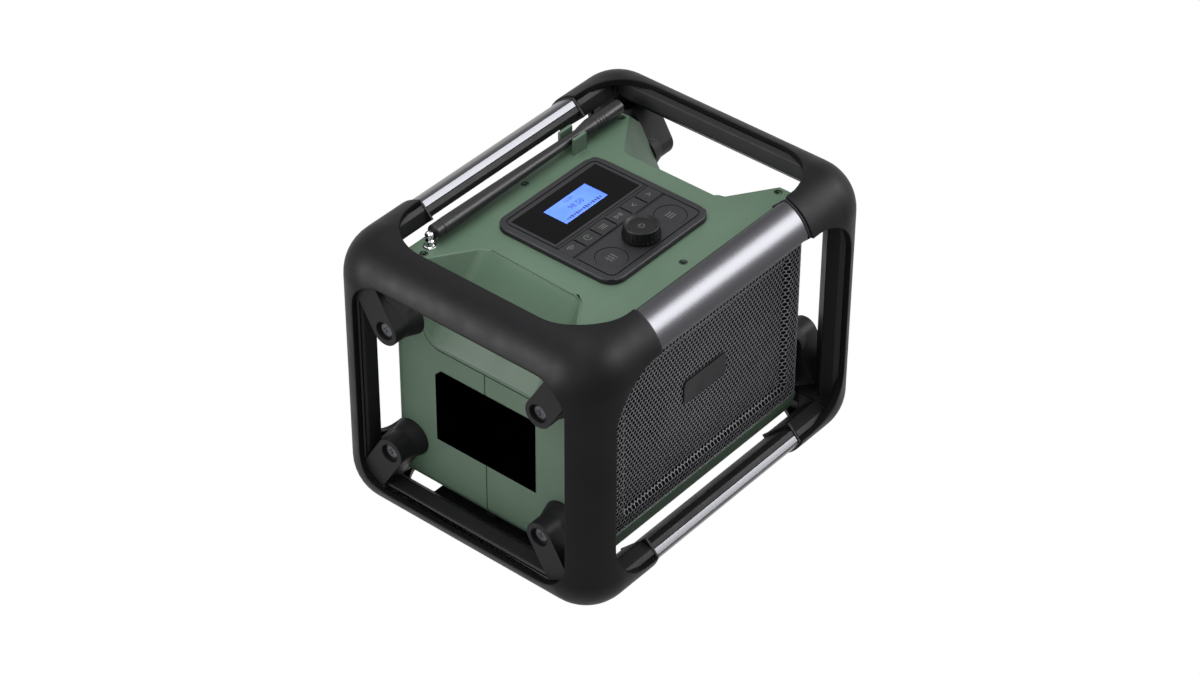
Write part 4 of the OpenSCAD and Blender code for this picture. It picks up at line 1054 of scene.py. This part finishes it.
def antenna_rod():
    """Rubber sleeve: a slotted socket with a ring groove, a long taper, a waist at the clip and a
    thick tip with four ring grooves."""
    socket = [(0, 0), (4.4, 0), (5.1, 0.4), (5.4, 1.2), (5.4, 6.0), (4.9, 6.5), (4.9, 7.3), (5.4, 7.8),
              (5.5, 14.0)]
    outline = [(radius, ROD_START + along) for radius, along in socket]
    outline += [(5.1, 50.0), (4.5, 90.0), (3.8, 130.0), (3.55, ROD_WAIST - 5), (3.55, ROD_WAIST + 6),
                (4.1, ROD_WAIST + 9), (5.2, ROD_TIP - 2), (5.5, ROD_TIP)]
    for number in range(4):
        groove = ROD_TIP + 3.0 + 3.0 * number
        outline += [(5.5, groove), (5.15, groove + 0.35), (5.15, groove + 0.85), (5.5, groove + 1.2)]
    outline += [(5.55, ROD_END - 2.4), (5.3, ROD_END - 0.9), (4.6, ROD_END - 0.2), (3.6, ROD_END),
                (0, ROD_END)]
    rod = spun("antenna_sleeve", outline, HINGE, axis="X", steps=48)
    x, y, z = HINGE
    half_y, half_z = TONGUE_SLOT["y"], TONGUE_SLOT["z"]
    slot = block("slot", [x + ROD_START - 1, y - half_y, z - half_z],
                 [x + ROD_START + TONGUE_SLOT["long"], y + half_y, z + half_z])
    combine(rod, [slot])
    return soften(rod, 0, smooth=25)


# The post: flange under the cover, neck and foot of the head, then the ball's radius and middle
POST_STEM = [(0, -6), (3.8, -6), (3.8, -3.05), (3.18, -3.0), (3.18, 0.05)]
POST_NECK = [(4.5, 0.05), (4.6, 0.5), (4.2, 1.1), (3.2, 1.3), (3.1, 5.2), (2.6, 5.7), (2.6, 6.4)]
BALL = {"r": 3.2, "z": 9.0}


def antenna_post():
    """Chrome post: a flange, a neck and a ball head with the slot for the tongue."""
    x, y, z = HINGE
    angles = [math.radians(angle) for angle in range(-40, 90, 10)]
    ball = [(BALL["r"] * math.cos(angle), BALL["z"] + BALL["r"] * math.sin(angle)) for angle in angles]
    outline = POST_STEM + POST_NECK + ball + [(0, BALL["z"] + BALL["r"])]
    post = spun("chrome_post", outline, (x, y, BODY_TOP), steps=48)
    combine(post, [block("slot", [x - 6, y - 1.3, z - 3.8], [x + 6, y + 1.3, z + 6])])
    return soften(post, 0, smooth=35)


dress(antenna_rod(), rod_rubber, "antenna", "antenna_rubber", "antenna_rod")
dress(antenna_post(), chrome, "chassis", "chrome", "antenna_post")


# Screws, rear and floor fittings

def lug_screws():
    """The lugs' screws, with heads of half the height, so that they lie deep in their mouths."""
    screws = from_solid("frame_screws", "lug_screws")
    for way in (-1, 1):
        choose(screws, "VERT", lambda vertex: way * vertex.co.x > (under_heads + 0.1) * MM)
        bpy.ops.transform.resize(value=(0.5, 1, 1), center_override=(way * under_heads * MM, 0, 0))
        leave()
    return soften(screws, 0.15, 2, angle=40)


dress(lug_screws(), screw_steel, "chassis", "steel", "frame_screws")

# The cover's screws: their heads' radius, how much narrower they get, and their drive sockets
LID_HEAD = {"r": 2.7, "narrower": 0.86, "socket": 1.1, "deep": 1.3}
lid_low, lid_high = [Vector(corner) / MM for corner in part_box("cover_screws")]
lid_spots = [(x, y) for x in (lid_low.x + LID_HEAD["r"], 0, lid_high.x - LID_HEAD["r"])
             for y in (lid_low.y + LID_HEAD["r"], lid_high.y - LID_HEAD["r"])]


def lid_screws():
    """Heads that are a little narrower than their hollows, with a round drive socket."""
    screws = from_solid("cover_screws", "lid_screws")
    for x, y in lid_spots:
        choose(screws, "VERT", lambda vertex: math.hypot(vertex.co.x / MM - x, vertex.co.y / MM - y) < 4)
        bpy.ops.transform.resize(value=(LID_HEAD["narrower"], LID_HEAD["narrower"], 1),
                                 center_override=(x * MM, y * MM, 0))
        leave()
    floor = lid_high.z - LID_HEAD["deep"]
    combine(screws, [drum("socket", (x, y, floor), LID_HEAD["socket"], 3, sides=24) for x, y in lid_spots])
    return soften(screws, 0.12, 1, angle=40)


def paint_socket_shade(screws):
    """Painted shade: black walls and floors in the drive sockets, in place of the shade that falls in them.
    """
    screws.data.materials.append(shaded_socket)
    for face in screws.data.polygons:
        middle = face.center / MM
        reach = min(math.hypot(middle.x - x, middle.y - y) for x, y in lid_spots)
        inside = reach < LID_HEAD["socket"] + 0.05 and middle.z > lid_high.z - LID_HEAD["deep"] - 0.1
        face.material_index = int(inside)


paint_socket_shade(dress(lid_screws(), painted_screw, "chassis", "steel", "cover_screws"))

# The grip lines of the battery door: their middle and half length, the lowest line, step and width
GRIP_LINES = {"x": -45.0, "half": 34, "low": 72.0, "step": 5.0, "wide": 1.6, "deep": 0.7, "count": 5}


def battery_door():
    """The rear door with its shallow grip lines."""
    door = tidy(from_solid("battery_door", "rear_door"))
    left, right = GRIP_LINES["x"] - GRIP_LINES["half"], GRIP_LINES["x"] + GRIP_LINES["half"]
    cuts = []
    for number in range(GRIP_LINES["count"]):
        z = GRIP_LINES["low"] + GRIP_LINES["step"] * number
        cuts.append(block("line", [left, BODY_Y - GRIP_LINES["deep"], z],
                          [right, BODY_Y + 1, z + GRIP_LINES["wide"]]))
    combine(door, cuts)
    return soften(door, 0.3, 2, angle=40)


dress(battery_door(), green_abs, "door", "green_plastic", "battery_door")
dress(soften(from_solid("door_catch", "thumb_catch"), 0.3, 2, angle=40), panel_abs, "door", "panel_black",
      "door_catch")
dress(soften(from_solid("socket_plate", "rear_socket_plate"), 0.35, 2, angle=40), panel_abs, "chassis",
      "panel_black", "socket_plate")
dress(soften(from_solid("socket_flap", "rear_flap"), 0.3, 2, angle=40), pad_rubber, "flap", "foot_rubber",
      "socket_flap")


# The foot pads, and the grooves across them
PAD = {"half_wide": 6.5, "half_long": 12}
TREAD = {"step": 6, "half": 0.7, "deep": 0.9}


def tread_pads():
    """Foot pads with three tread grooves each."""
    pads = tidy(from_solid("foot_pads", "tread_pads"))
    high = Vector(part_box("foot_pads")[1]) / MM
    cuts = []
    for side in (-1, 1):
        for end in (-1, 1):
            middle = side * (high.x - PAD["half_wide"])
            for step in (-1, 0, 1):
                y = end * (high.y - PAD["half_long"] + step * TREAD["step"])
                cuts.append(block("tread", [middle - 10, y - TREAD["half"], -1],
                                  [middle + 10, y + TREAD["half"], TREAD["deep"]]))
    combine(pads, [join(cuts, "treads")])
    return soften(pads, 0.3, 2, angle=40)


dress(tread_pads(), pad_rubber, "chassis", "foot_rubber", "foot_pads")

# Pieces inside, and small ones that keep the solids' shapes
LOOKS = {
    "display_module": display_blue,
    "encoder_shaft": can_steel, "encoder_rotor": can_steel, "encoder_body": can_steel,
    "key_board": board_mask, "main_board": board_mask, "power_unit": can_steel, "battery_pack": nylon,
    "antenna_pin": chrome, "antenna_tongue": chrome,
    "left_speaker": cloth_black, "right_speaker": cloth_black}
for node, material in LOOKS.items():
    nodes[node].data.materials.clear()
    nodes[node].data.materials.append(material)

bpy.context.scene.view_settings.view_transform = "Standard"
